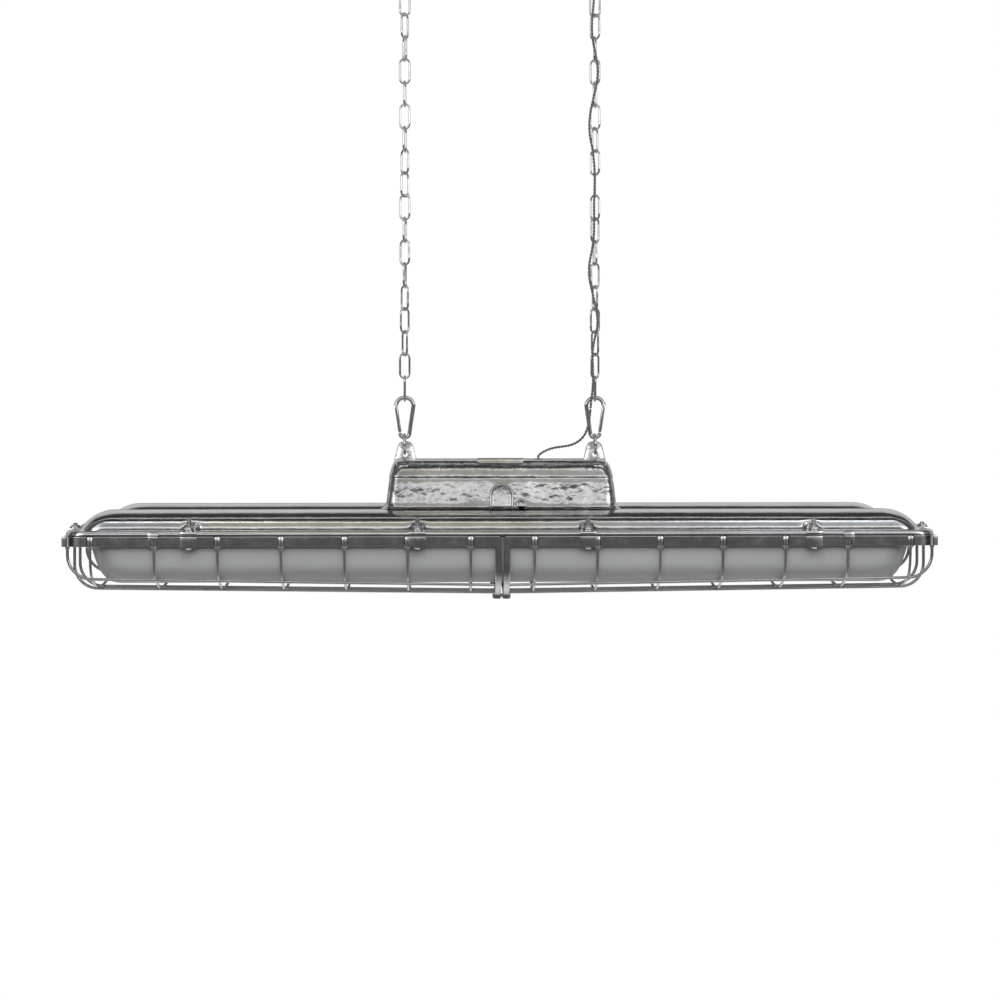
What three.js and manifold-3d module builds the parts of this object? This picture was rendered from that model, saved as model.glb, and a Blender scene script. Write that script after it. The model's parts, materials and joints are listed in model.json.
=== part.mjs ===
// Caged twin-trough pendant light on two chains. Millimetres, +Z up.
// The origin is on the ceiling, midway between the two hooks. +X runs along the lamp,
// and -Y is the front. Lamp parts are drawn about the lamp's own datum, where z = 0 is the
// top face of the guard rims, and then hung below the ceiling in one group.
import * as THREE from 'three';
import { mergeVertices } from 'three/addons/utils/BufferGeometryUtils.js';
import { ConvexGeometry } from 'three/addons/geometries/ConvexGeometry.js';
import Module from 'manifold-3d';

const wasm = await Module();
wasm.setup();

// ---- Driving dimensions ----
const GAP = 0.3; // air left between neighbouring pieces
const TROUGH_Y = 95; // each trough's centre line, from the lamp's centre
const EAR_X = 153; // each suspension ear, from the lamp's centre

const RIM = { halfLength: 662, halfWidth: 79, corner: 30, depth: 15.5, wall: 7, ledgeTop: -6 };
const LEDGE = { halfLength: 640, halfWidth: 69.4, corner: 22 };
const RIM_INNER = { halfLength: 647, halfWidth: 72, corner: 24 };
const FLANGE = { halfLength: 657, halfWidth: 79, corner: 30, thickness: 7.2 };
// Level outlines of the dome and of the hollow in it, as [z, halfLength, halfWidth, corner].
const DOME = { height: 36, wall: 4 };
const DOME_OUTSIDE = [
  [6.5, 645, 62, 30], [15, 639, 59, 28], [24, 632, 51, 24], [31, 623, 38, 18], [35, 614, 20, 12],
  [36, 606, 8, 6],
];
const DOME_INSIDE = [[-0.7, 632, 58, 24], [15, 629, 54, 24], [24, 622, 44, 20], [32, 598, 16, 10]];
const GLASS = { wall: 3.5, lip: 4 };
const GLASS_LAYERS = [
  [-3.7, 630, 68.8, 50], [-30, 623, 66.8, 50], [-50, 615.5, 60.8, 46], [-64, 609, 48.8, 38],
  [-73, 601, 28.8, 24], [-76, 588, 10, 8],
];
const LIP = { halfLength: 645, halfWidth: 71.4, corner: 24, top: -1.7 }; // the glass's edge
const GASKET = { bottom: -1.4, innerLength: 634, innerWidth: 65, corner: 20 };
const REFLECTOR = { fold: [[52, 1], [20, 12], [-20, 12], [-52, 1]], thickness: 1.2, halfLength: 600 };
const TUBE = { halfLength: 599.7, radius: 13, axisZ: -30, wall: 1.2, cap: 14, vent: 1.5 };
const HOLDER = { halfWidth: 10, top: -2, thickness: 6 };

const SIDE_BOLT_X = [128, 469]; // clamp bolts along each long edge
const SIDE_BOLT_Y = 77.5;
const END_BOLT_X = 656;
const BOLT = { radius: 4, hole: 4.4, nut: 7.5, nutHeight: 6, headHeight: 4 };
const ARCH_BOLT = { radius: 3, hole: 3.4, head: 5.2, headHeight: 2.4 };
const STUD_TOP = { side: 28, end: 17 };
const LUG = { width: 26, reach: 85.5 };
const END_LUG = { halfLength: 7.7, halfWidth: 13, corner: 6, x: 655.3 };

const RING_WIRES = { count: 7, first: 48, pitch: 94.75, radius: 2.1 };
const RAIL = { radius: 2.3, endX: 653, bend: 36 };
// How far out each pair of rails lies, how deep at the lamp's end, and how much deeper at its middle.
const RAIL_PLACES = [[62.8, 64.5, 10.7], [17.7, 82.9, 8]];
const CAGE_PROFILE = [[76, -10], [73.5, -46], [63, -66], [38, -80.5], [0, -85]]; // [y, z], half of it
// What the profile's depth is multiplied by at the lamp's end, and what its middle adds to that.
const CAGE_STRETCH = { end: 0.946, sag: 0.113 };
const ARCH = { inner: 1.7, width: 9.3, thickness: 7, lugHalfWidth: 10, lugTop: -92, lugBottom: -102 };
const ARCH_PROFILE = [
  [75.2, -9], [75.2, -50], [72, -62], [62.8, -73.5], [45, -84], [17.7, -92.5], [0, -93.5],
];
const ARCH_BOLT_Z = -98;

const GEAR_BOX = { base: DOME.height + GAP, top: 110, wall: 5 };
const BOSS = { halfWidth: 18.5, crown: 76, depth: 14, middleY: 97 }; // arched, on both long faces
// A thin blank cover with turned-down edges, over the front edge of the gear box's top.
const BLANK = { low: -37, high: 35, thickness: 1.6 };
const BLANK_FOLD = [[-44, 111.2], [-47, 113.4], [-70, 113.6], [-76.5, 110.6], [-81.5, 106.4]]; // [y, z]
const TRAY = { halfLength: 172, halfWidth: 92, corner: 10, thickness: 2.7 };
const BALLAST = { halfLength: 95, halfWidth: 21, corner: 5, height: 36.7, x: -50, y: 48 };
const TERMINALS = { halfLength: 30, halfWidth: 11, height: 18.7, x: 100 };
const EAR = { halfBase: 19.5, halfTop: 12, top: 140, thickness: 8, holeZ: 117.5, hole: 5.5 };
// A low rib runs from each ear over the top to both long faces. Half of it, as [y, z, half width].
const EAR_RIB = [[20, 113, 14], [70, 109.5, 13], [86, 104, 12], [91.5, 97, 11], [92, 88, 10]];
const RING = { wire: 2.25, radius: 16.15 };
const HOOK_WIRE = 2.5;
const CARABINER = { wire: 3.3, length: 71, top: 14.2, bottom: 7.4 };
const GATE = { wire: 2.7, hingeGap: 2.4, latchGap: 2.2 }; // the gaps are to the hook's two ends
const LINK = { wire: 1.7, halfWidth: 7.7, pitch: 36.4, count: 19, sink: 1 };
const FLEX_RADIUS = 2.1;
const FLEX_EXIT = { x: 62, y: 14 }; // where the flex leaves the gear box's top
const HOOK_DROP = 42; // from the ceiling to the centre of the hook's wire
const HOOK_RADIUS = 9;
const HOOK_PLATE = { radius: 26, depth: 8 };
const ROSE = { radius: 38, depth: 20 };

// ---- Heights that follow, above the lamp's datum ----
const RING_LOW = EAR.holeZ + EAR.hole - RING.wire - 1.5;
const RING_TOP = RING_LOW + 2 * RING.radius;
const CARABINER_LOW = RING_TOP - RING.wire - CARABINER.wire - GAP;
const CARABINER_TOP = CARABINER_LOW + CARABINER.length - 2 * CARABINER.wire;
const CHAIN_LOW = CARABINER_TOP - CARABINER.wire - LINK.wire - GAP;
// Between the wire centres of a link's two ends. Links of one chain sink a little into each other.
const LINK_LENGTH = LINK.pitch + 2 * LINK.wire - LINK.sink;
const TOP_LINK_LOW = CHAIN_LOW + (LINK.count - 2) * LINK.pitch + LINK_LENGTH - 2 * LINK.wire - GAP;
const HOOK_Z = TOP_LINK_LOW + LINK_LENGTH - LINK.wire - HOOK_WIRE - GAP;
const DATUM_Z = -HOOK_DROP - HOOK_Z; // the lamp's datum, below the ceiling

// How far each link is turned about the chain's line, from its lowest link to the one below the
// top link. The first link crosses the carabiner and the last one crosses the top link.
const LEFT_TURNS = [90, 12, 119, 39, 133, 80, 154, 78, 162, 48, 135, 78, 164, 85, 180, 108, 53, 0];
const RIGHT_TURNS = [90, 38, 126, 28, 112, 34, 102, 36, 144, 84, 144, 55, 156, 70, 150, 77, 146, 180];

// ---- Materials ----
function finish(color, roughness, metalness) {
  return new THREE.MeshStandardMaterial({ color, roughness, metalness });
}

const castAluminium = finish(0xb9b8b4, 0.28, 1);
const hammeredCasting = finish(0xa9a9a6, 0.42, 1);
const brightWire = finish(0xc9cbcd, 0.3, 1);
const platedSteel = finish(0xc4c6c8, 0.22, 1);
const zincBolt = finish(0x9c9d9e, 0.38, 1);
const opalGlass = finish(0xb4b7b9, 0.3, 0);
const blackRubber = finish(0x1d1d1f, 0.7, 0);
const whiteEnamel = finish(0xf0f0ea, 0.25, 0);
const tubeGlass = finish(0xf7f7f4, 0.2, 0);
const whitePlastic = finish(0xe4e4dd, 0.45, 0);
const braidedFlex = finish(0x3a3734, 0.8, 0);

// ---- Solids ----
const V = (x, y, z) => new THREE.Vector3(x, y, z);

function toSolid(geometry) {
  const bare = geometry.clone();
  for (const name of Object.keys(bare.attributes)) {
    if (name !== 'position') bare.deleteAttribute(name);
  }
  const merged = mergeVertices(bare, 1e-3);
  const mesh = new wasm.Mesh({
    numProp: 3,
    vertProperties: new Float32Array(merged.attributes.position.array),
    triVerts: new Uint32Array(merged.index.array),
  });
  return new wasm.Manifold(mesh);
}

function toGeometry(solid) {
  const mesh = solid.getMesh();
  const geometry = new THREE.BufferGeometry();
  geometry.setAttribute('position', new THREE.Float32BufferAttribute(mesh.vertProperties, 3));
  geometry.setIndex(new THREE.BufferAttribute(mesh.triVerts, 1));
  geometry.computeVertexNormals();
  return geometry;
}

function join(first, ...others) {
  return toGeometry(others.reduce((whole, next) => whole.add(toSolid(next)), toSolid(first)));
}

function cut(first, ...others) {
  return toGeometry(others.reduce((whole, next) => whole.subtract(toSolid(next)), toSolid(first)));
}

function block(low, high) {
  const size = high.clone().sub(low);
  const middle = high.clone().add(low).multiplyScalar(0.5);
  return new THREE.BoxGeometry(size.x, size.y, size.z).translate(middle.x, middle.y, middle.z);
}

// A cylinder or hexagon standing on z = low at (x, y).
function post(radius, low, high, x, y, sides) {
  const geometry = new THREE.CylinderGeometry(radius, radius, high - low, sides);
  return geometry.rotateX(Math.PI / 2).translate(x, y, (low + high) / 2);
}

// The corner-rounded outline of a plate, as points that run anticlockwise.
function plateOutline({ halfLength, halfWidth, corner }, steps = 3) {
  const points = [];
  for (let quarter = 0; quarter < 4; quarter += 1) {
    const sideX = quarter === 0 || quarter === 3 ? 1 : -1;
    const sideY = quarter < 2 ? 1 : -1;
    for (let step = 0; step <= steps; step += 1) {
      const angle = (quarter + step / steps) * (Math.PI / 2);
      const x = sideX * (halfLength - corner) + corner * Math.cos(angle);
      const y = sideY * (halfWidth - corner) + corner * Math.sin(angle);
      points.push(new THREE.Vector2(x, y));
    }
  }
  return points;
}

function plate(size, low, high) {
  const shape = new THREE.Shape(plateOutline(size));
  return new THREE.ExtrudeGeometry(shape, { depth: high - low, bevelEnabled: false }).translate(0, 0, low);
}

// The convex body whose level outlines are given from bottom to top as [z, halfLength, halfWidth, corner].
function layered(layers, steps = 2) {
  const points = [];
  for (const [z, halfLength, halfWidth, corner] of layers) {
    for (const p of plateOutline({ halfLength, halfWidth, corner }, steps)) points.push(V(p.x, p.y, z));
  }
  return new ConvexGeometry(points);
}

// A wire that bends exactly at the points it is given.
class BentWire extends THREE.Curve {
  constructor(points) {
    super();
    this.points = points;
  }

  getPoint(t, target = new THREE.Vector3()) {
    const last = this.points.length - 1;
    const from = Math.min(Math.floor(t * last + 1e-6), last - 1);
    return target.lerpVectors(this.points[from], this.points[from + 1], t * last - from);
  }

  getPointAt(u, target) {
    return this.getPoint(u, target);
  }

  getTangentAt(u, target = new THREE.Vector3()) {
    const last = this.points.length - 1;
    const at = Math.round(u * last);
    const before = this.points[Math.max(at - 1, 0)];
    return target.subVectors(this.points[Math.min(at + 1, last)], before).normalize();
  }
}

function wire(points, radius, sides = 4) {
  const section = [];
  for (let side = 0; side < sides; side += 1) {
    const angle = ((side + 0.5) / sides) * 2 * Math.PI;
    section.push(new THREE.Vector2(radius * Math.cos(angle), radius * Math.sin(angle)));
  }
  const route = { steps: points.length - 1, bevelEnabled: false, extrudePath: new BentWire(points) };
  return new THREE.ExtrudeGeometry(new THREE.Shape(section), route);
}

// A flat strap that follows points in the YZ plane, from x = low to x = high.
function strap(points, thickness, low, high) {
  const side = (sign) => points.map((p, i) => {
    const along = points[Math.min(i + 1, points.length - 1)].clone().sub(points[Math.max(i - 1, 0)]);
    const across = new THREE.Vector2(-along.y, along.x).normalize().multiplyScalar((sign * thickness) / 2);
    return p.clone().add(across);
  });
  const shape = new THREE.Shape([...side(1), ...side(-1).reverse()]);
  return acrossYZ(new THREE.ExtrudeGeometry(shape, { depth: high - low, bevelEnabled: false }), low);
}

// Stands a shape drawn in (y, z) upright and pushes it out along X from x = low.
function acrossYZ(geometry, low) {
  return geometry.rotateX(Math.PI / 2).rotateZ(Math.PI / 2).translate(low, 0, 0);
}

// Stands a shape drawn in (x, z) upright and pushes it out along Y, centred on y = middle.
function acrossXZ(shape, thickness, middle) {
  const geometry = new THREE.ExtrudeGeometry(shape, { depth: thickness, bevelEnabled: false });
  return geometry.rotateX(Math.PI / 2).translate(0, middle + thickness / 2, 0);
}

// ---- Assembly helpers ----
const assembly = new THREE.Group();
const lamp = new THREE.Group();
lamp.position.z = DATUM_Z;
assembly.add(lamp);

function add(parent, name, geometry, material, place = {}) {
  const mesh = new THREE.Mesh(geometry, material);
  mesh.name = name;
  mesh.position.set(place.x ?? 0, place.y ?? 0, place.z ?? 0);
  mesh.rotation.z = place.turn ?? 0;
  parent.add(mesh);
  return mesh;
}

const TROUGHS = [['front', -TROUGH_Y], ['rear', TROUGH_Y]];
const HALVES = [['right', 0], ['left', Math.PI]];
const ENDS = [['left', -1], ['right', 1]];

// ---- Trough housing: flange, hollow dome, bolt lugs ----
function sideLug(x, side, low, high) {
  const inner = side * (RIM.halfWidth - RIM.wall + 1);
  const outer = side * LUG.reach;
  const near = Math.min(inner, outer);
  const far = Math.max(inner, outer);
  return block(V(x - LUG.width / 2, near, low), V(x + LUG.width / 2, far, high));
}

function endLug(low, high) {
  return plate(END_LUG, low, high).translate(END_LUG.x, 0, 0);
}

function housing() {
  const low = GAP;
  const high = GAP + FLANGE.thickness;
  const pieces = [];
  const holes = [];
  for (const turn of [0, Math.PI]) {
    for (const x of SIDE_BOLT_X) {
      for (const side of [-1, 1]) {
        pieces.push(sideLug(x, side, low, high).rotateZ(turn));
        holes.push(post(BOLT.hole, low - 5, high + 5, x, side * SIDE_BOLT_Y, 6).rotateZ(turn));
      }
    }
    pieces.push(endLug(low, high).rotateZ(turn));
    holes.push(post(BOLT.hole, low - 5, high + 5, END_BOLT_X, 0, 6).rotateZ(turn));
  }
  const dome = layered(DOME_OUTSIDE);
  const inside = layered(DOME_INSIDE);
  return cut(join(plate(FLANGE, low, high), dome, ...pieces), inside, ...holes);
}

// ---- Wire guard: half of a trough's cage, drawn for x > 0 ----
function cagePoint([y, z], x) {
  const middling = 1 - x / RIM.halfLength;
  return V(x, y, z * (CAGE_STRETCH.end + CAGE_STRETCH.sag * middling));
}

function ringWire(x) {
  const half = CAGE_PROFILE.map((p) => cagePoint(p, x));
  const rest = half.slice(0, -1).reverse().map((p) => V(p.x, -p.y, p.z));
  return wire([...half, ...rest], RING_WIRES.radius);
}

// A lengthwise wire that lies just under the ring wires, and turns up into the rim's end.
function rail(y, depth, deeper) {
  const sag = (x) => -depth - deeper * (1 - x / RIM.halfLength);
  const points = [V(ARCH.inner + ARCH.width / 2, y, sag(0))];
  const steps = 3;
  for (let step = 0; step <= steps; step += 1) {
    const angle = (step / steps) * (Math.PI / 2);
    const x = RAIL.endX - RAIL.bend * (1 - Math.sin(angle));
    points.push(V(x, y, sag(x) + RAIL.bend * (1 - Math.cos(angle))));
  }
  points.push(V(RAIL.endX, y, -RIM.depth + 4));
  return wire(points, RAIL.radius);
}

// The part of a rim plate on the x > 0 side: an open U of constant width.
function halfRim(inner, low, high) {
  const tooLong = RIM.halfLength * 2;
  const keepOut = block(V(-tooLong, -200, low - 1), V(ARCH.inner, 200, high + 1));
  return cut(plate(RIM, low, high), plate(inner, low - 1, high + 1), keepOut);
}

function guard() {
  const pieces = [halfRim(LEDGE, -RIM.depth, RIM.ledgeTop)];
  for (let i = 0; i < RING_WIRES.count; i += 1) {
    pieces.push(ringWire(RING_WIRES.first + i * RING_WIRES.pitch));
  }
  for (const side of [-1, 1]) {
    for (const [y, depth, deeper] of RAIL_PLACES) pieces.push(rail(side * y, depth, deeper));
  }
  const far = ARCH.inner + ARCH.width;
  const arch = [...ARCH_PROFILE, ...ARCH_PROFILE.slice(0, -1).reverse().map(([y, z]) => [-y, z])];
  pieces.push(strap(arch.map(([y, z]) => new THREE.Vector2(y, z)), ARCH.thickness, ARCH.inner, far));
  const lug = ARCH.lugHalfWidth;
  pieces.push(block(V(ARCH.inner, -lug, ARCH.lugBottom), V(far, lug, ARCH.lugTop)));
  const holes = [archBoltHole()];
  for (const x of SIDE_BOLT_X) {
    for (const side of [-1, 1]) {
      pieces.push(sideLug(x, side, -RIM.depth, 0));
      holes.push(post(BOLT.hole, -RIM.depth - 5, 5, x, side * SIDE_BOLT_Y, 6));
    }
  }
  pieces.push(endLug(-RIM.depth, 0));
  holes.push(post(BOLT.hole, -RIM.depth - 5, 5, END_BOLT_X, 0, 6));
  return cut(join(halfRim(RIM_INNER, RIM.ledgeTop - 0.5, 0), ...pieces), ...holes);
}

function archBoltHole() {
  return post(ARCH_BOLT.hole, -20, 20, 0, 0, 6).rotateY(Math.PI / 2).translate(0, 0, ARCH_BOLT_Z);
}

// ---- Clamp bolts, drawn along Z with the flange's joint at z = 0 ----
function clampBolt(studTop) {
  const head = post(BOLT.nut, -RIM.depth - GAP - BOLT.headHeight, -RIM.depth - GAP, 0, 0, 6);
  const nutLow = FLANGE.thickness + 2 * GAP;
  const nut = post(BOLT.nut, nutLow, nutLow + BOLT.nutHeight, 0, 0, 6);
  return join(post(BOLT.radius, -RIM.depth - 2, studTop, 0, 0, 6), head, nut);
}

// A short bolt along X, with a low head on each side.
function archBolt() {
  const inner = ARCH.inner + ARCH.width + GAP;
  const outer = inner + ARCH_BOLT.headHeight;
  const head = (low, high) => post(ARCH_BOLT.head, low, high, 0, 0, 6);
  const heads = [head(-outer, -inner), head(inner, outer)];
  return join(post(ARCH_BOLT.radius, -outer + 1, outer - 1, 0, 0, 6), ...heads).rotateY(Math.PI / 2);
}

// ---- Glass trough, its gasket and what is behind it ----
function glassTrough() {
  const lip = plate(LIP, LIP.top - GLASS.lip, LIP.top);
  const inner = GLASS_LAYERS.map(([z, halfLength, halfWidth, corner], i) => {
    const lift = i > 2 ? GLASS.wall : 0;
    return [z + lift, halfLength - GLASS.wall, halfWidth - GLASS.wall, corner];
  });
  inner[0][0] = LIP.top + 1;
  return cut(join(lip, layered(GLASS_LAYERS)), layered(inner));
}

function gasket() {
  const opening = { halfLength: GASKET.innerLength, halfWidth: GASKET.innerWidth, corner: GASKET.corner };
  return cut(plate(LIP, GASKET.bottom, 0), plate(opening, GASKET.bottom - 1, 1));
}

function reflector() {
  const fold = REFLECTOR.fold.map(([y, z]) => new THREE.Vector2(y, z));
  return strap(fold, REFLECTOR.thickness, -REFLECTOR.halfLength, REFLECTOR.halfLength);
}

// A hollow glass tube with a metal cap on each end. Each cap's face has a small vent.
function tubeLamp() {
  const { halfLength, radius, wall, cap, vent } = TUBE;
  const half = [[vent, halfLength - wall], [vent, halfLength], [radius - 1, halfLength]];
  half.push([radius - 1, halfLength - cap], [radius, halfLength - cap - 2]);
  const outside = [...half, ...half.slice().reverse().map(([x, y]) => [x, -y])];
  const inside = [[radius - 1 - wall, -halfLength + wall], [radius - 1 - wall, halfLength - wall]];
  const profile = [...outside, ...inside, half[0]];
  const points = profile.map(([x, y]) => new THREE.Vector2(x, y));
  return new THREE.LatheGeometry(points.reverse(), 12).rotateZ(Math.PI / 2).translate(0, 0, TUBE.axisZ);
}

function tubeHolder() {
  const { halfWidth: half, top, thickness } = HOLDER;
  const shape = new THREE.Shape();
  shape.moveTo(-half, top);
  shape.lineTo(-half, TUBE.axisZ);
  shape.absarc(0, TUBE.axisZ, half, Math.PI, 2 * Math.PI, false);
  shape.lineTo(half, top);
  shape.closePath();
  const body = new THREE.ExtrudeGeometry(shape, { depth: thickness, bevelEnabled: false, curveSegments: 8 });
  return acrossYZ(body, TUBE.halfLength + GAP);
}

// ---- Gear box ----
function earRib() {
  const points = EAR_RIB.flatMap(([y, z, half]) => {
    return [V(-half, -y, z), V(half, -y, z), V(-half, y, z), V(half, y, z)];
  });
  return new ConvexGeometry(points);
}

function gearBox() {
  const { base, top, wall } = GEAR_BOX;
  const layers = (inset) => [
    [base + (inset ? -2 : 0), 180 - inset, 100 - inset, 14],
    [80, 175 - inset, 95 - inset, 14],
    [96 - inset / 2, 172.6 - inset, 90 - inset, 16],
    [105 - inset, 171.2 - inset, 82 - inset, 16],
    [top - inset, 169.5 - inset, 70 - inset, 14],
  ];
  const arch = (offset) => {
    const shape = new THREE.Shape();
    const half = BOSS.halfWidth;
    shape.moveTo(half, base);
    shape.absarc(0, BOSS.crown - half, half, 0, Math.PI, false);
    shape.lineTo(-half, base);
    shape.closePath();
    return acrossXZ(shape, BOSS.depth, offset);
  };
  const pieces = [arch(-BOSS.middleY), arch(BOSS.middleY)];
  const holes = [];
  for (const [, side] of ENDS) {
    const ear = new THREE.Shape();
    ear.moveTo(-EAR.halfBase, top - 12);
    ear.lineTo(EAR.halfBase, top - 12);
    ear.lineTo(EAR.halfBase - 3, top + 3);
    ear.lineTo(EAR.halfTop, EAR.top - 3);
    ear.lineTo(EAR.halfTop - 4, EAR.top);
    ear.lineTo(-EAR.halfTop + 4, EAR.top);
    ear.lineTo(-EAR.halfTop, EAR.top - 3);
    ear.lineTo(-EAR.halfBase + 3, top + 3);
    ear.closePath();
    pieces.push(acrossXZ(ear, EAR.thickness, 0).translate(side * (EAR_X - 1), 0, 0));
    pieces.push(earRib().translate(side * (EAR_X - 1), 0, 0));
    const hole = post(EAR.hole, -20, 20, 0, 0, 10).rotateX(Math.PI / 2);
    holes.push(hole.translate(side * EAR_X, 0, EAR.holeZ));
  }
  const flexHole = post(FLEX_RADIUS + 4, 90, 120, FLEX_EXIT.x, FLEX_EXIT.y, 8);
  return cut(join(layered(layers(0)), ...pieces), layered(layers(wall)), ...holes, flexHole);
}

function grommet() {
  const low = GEAR_BOX.top - GEAR_BOX.wall;
  const seat = GEAR_BOX.top + GAP;
  const crown = GEAR_BOX.top + 2;
  const profile = [[FLEX_RADIUS + GAP, low], [FLEX_RADIUS + 3.5, low], [FLEX_RADIUS + 3.5, seat]];
  profile.push([FLEX_RADIUS + 5.5, seat], [FLEX_RADIUS + 4, crown], [FLEX_RADIUS + GAP, crown]);
  profile.push([FLEX_RADIUS + GAP, low]);
  const points = profile.map(([x, y]) => new THREE.Vector2(x, y));
  return new THREE.LatheGeometry(points, 8).rotateX(Math.PI / 2).translate(FLEX_EXIT.x, FLEX_EXIT.y, 0);
}

// ---- Suspension ----
// A round-ended loop of wire, standing in the XZ plane with its lower wire centre at z = low.
function link(low) {
  const straight = LINK_LENGTH / 2 - LINK.halfWidth * Math.cos(Math.PI / 8);
  const loop = new THREE.TorusGeometry(LINK.halfWidth, LINK.wire, 4, 8).rotateZ(Math.PI / 8);
  const place = loop.attributes.position;
  for (let i = 0; i < place.count; i += 1) place.setY(i, place.getY(i) + Math.sign(place.getY(i)) * straight);
  return loop.rotateX(Math.PI / 2).translate(0, 0, low + LINK_LENGTH / 2);
}

function chain(turns) {
  const links = turns.map((turn, i) => {
    return link(CHAIN_LOW + i * LINK.pitch).rotateZ(THREE.MathUtils.degToRad(turn));
  });
  return join(...links);
}

// The pear-shaped snap hook stands in the XZ plane; its gate is on the x > 0 side.
function carabinerOutline() {
  const points = [];
  const wide = CARABINER.top;
  const narrow = CARABINER.bottom;
  const topCentre = CARABINER_TOP - wide;
  const lowCentre = CARABINER_LOW + narrow;
  for (let step = 0; step <= 6; step += 1) {
    const angle = THREE.MathUtils.degToRad(8 + step * 27.3);
    points.push(V(wide * Math.cos(angle), 0, topCentre + wide * Math.sin(angle)));
  }
  for (let step = 0; step <= 5; step += 1) {
    const angle = THREE.MathUtils.degToRad(188 + step * 32.8);
    points.push(V(narrow * Math.cos(angle), 0, lowCentre + narrow * Math.sin(angle)));
  }
  return points;
}

const carabinerFrame = () => wire(carabinerOutline(), CARABINER.wire, 6);

function carabinerGate() {
  const outline = carabinerOutline();
  const upper = outline[0];
  const lower = outline[outline.length - 1];
  const along = upper.clone().sub(lower).normalize();
  const hinge = lower.clone().addScaledVector(along, GATE.hingeGap);
  const latch = upper.clone().addScaledVector(along, -GATE.latchGap);
  return wire([hinge, latch], GATE.wire, 6);
}

function splitRing() {
  const loop = new THREE.TorusGeometry(RING.radius, RING.wire, 6, 12);
  return loop.rotateY(Math.PI / 2).translate(0, 0, RING_LOW + RING.radius);
}

// An open hook in the XZ plane, under a plate on the ceiling.
function ceilingHook({ radius, depth }) {
  const centre = -HOOK_DROP + HOOK_RADIUS;
  const points = [V(0, 0, -depth + 1), V(0, 0, centre + HOOK_RADIUS + 3)];
  for (let step = 0; step <= 7; step += 1) {
    const angle = THREE.MathUtils.degToRad(80 - step * 37);
    points.push(V(HOOK_RADIUS * Math.cos(angle), 0, centre + HOOK_RADIUS * Math.sin(angle)));
  }
  const foot = new THREE.CylinderGeometry(radius, radius - 4, depth, 16);
  return join(foot.rotateX(Math.PI / 2).translate(0, 0, -depth / 2), wire(points, HOOK_WIRE, 6));
}

// ---- Flex: up from the gear box, then along the front of the right-hand chain ----
// Points are [x, y, z] above the lamp's datum.
const FLEX_LOWER = [
  [62, 14, 99], [62, 14, 112.6], [63.5, 13.5, 117.2], [67.4, 12.3, 120.8], [73.5, 10, 124.2], [81, 7, 127.4],
  [90, 3, 129.8], [101, -1.6, 131.4], [111, -5.4, 133.2], [120, -8.4, 136.6], [128, -10.4, 141.8],
  [134, -11.2, 148.4], [138.4, -11.5, 156.5], [141.4, -11.5, 167], [143.6, -11.5, 180], [145, -11.8, 193],
];
const FLEX_CHAIN = [
  [145, -11.8, 193.6], [146, -12.2, 206], [148, -12.4, 222], [149, -12.4, 240], [148.4, -12.4, 262],
  [148.2, -12.4, 282], [151, -12.4, 302], [155.4, -12.4, 322], [155.6, -12.4, 340], [152, -12.4, 360],
  [147, -12.4, 382], [143, -12.4, 402], [143, -12.4, 424], [147, -12.4, 446], [150.2, -12.4, 470],
  [150.6, -12.4, 496], [150.6, -12.4, 522], [151.4, -12.4, 550], [151, -12.4, 580], [148, -12.4, 608],
  [143.6, -12.4, 632], [143.4, -12.4, 656], [147.6, -12.4, 682], [154, -12.4, 710], [156.4, -12.4, 734],
  [153.4, -12.4, 758], [149, -12.4, 780], [147, -12.4, 804], [148.6, -12.4, 828], [150, -12.4, 846],
  [150.5, -12.4, 858.4],
];
const FLEX_TOP = [
  [150.5, -12.4, 859], [151, -13.4, 869], [151.8, -16, 881], [152.6, -19.6, 894], [153, -22, 905],
  [153, -22.4, 914],
];

const flexPiece = (points) => wire(points.map(([x, y, z]) => V(x, y, z)), FLEX_RADIUS, 8);

// ---- The lamp's parts ----
for (const [name, y] of TROUGHS) {
  add(lamp, `housing_${name}`, housing(), castAluminium, { y });
  for (const [half, turn] of HALVES) add(lamp, `guard_${name}_${half}`, guard(), brightWire, { y, turn });
  add(lamp, `glass_${name}`, glassTrough(), opalGlass, { y });
  add(lamp, `gasket_${name}`, gasket(), blackRubber, { y });
  add(lamp, `reflector_${name}`, reflector(), whiteEnamel, { y });
  add(lamp, `tube_${name}`, tubeLamp(), tubeGlass, { y });
  for (const [half, turn] of HALVES) {
    add(lamp, `tube_holder_${name}_${half}`, tubeHolder(), whitePlastic, { y, turn });
  }
  add(lamp, `arch_bolt_${name}`, archBolt(), zincBolt, { y, z: ARCH_BOLT_Z });
  for (const [half, side] of ENDS) {
    add(lamp, `end_bolt_${name}_${half}`, clampBolt(STUD_TOP.end), zincBolt, { x: side * END_BOLT_X, y });
  }
  const outer = Math.sign(y) * SIDE_BOLT_Y + y;
  [-1, 1].forEach((side) => SIDE_BOLT_X.forEach((x, i) => {
    const label = `${side < 0 ? 'left' : 'right'}_${i + 1}`;
    add(lamp, `clamp_bolt_${name}_${label}`, clampBolt(STUD_TOP.side), zincBolt, { x: side * x, y: outer });
  }));
}

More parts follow.
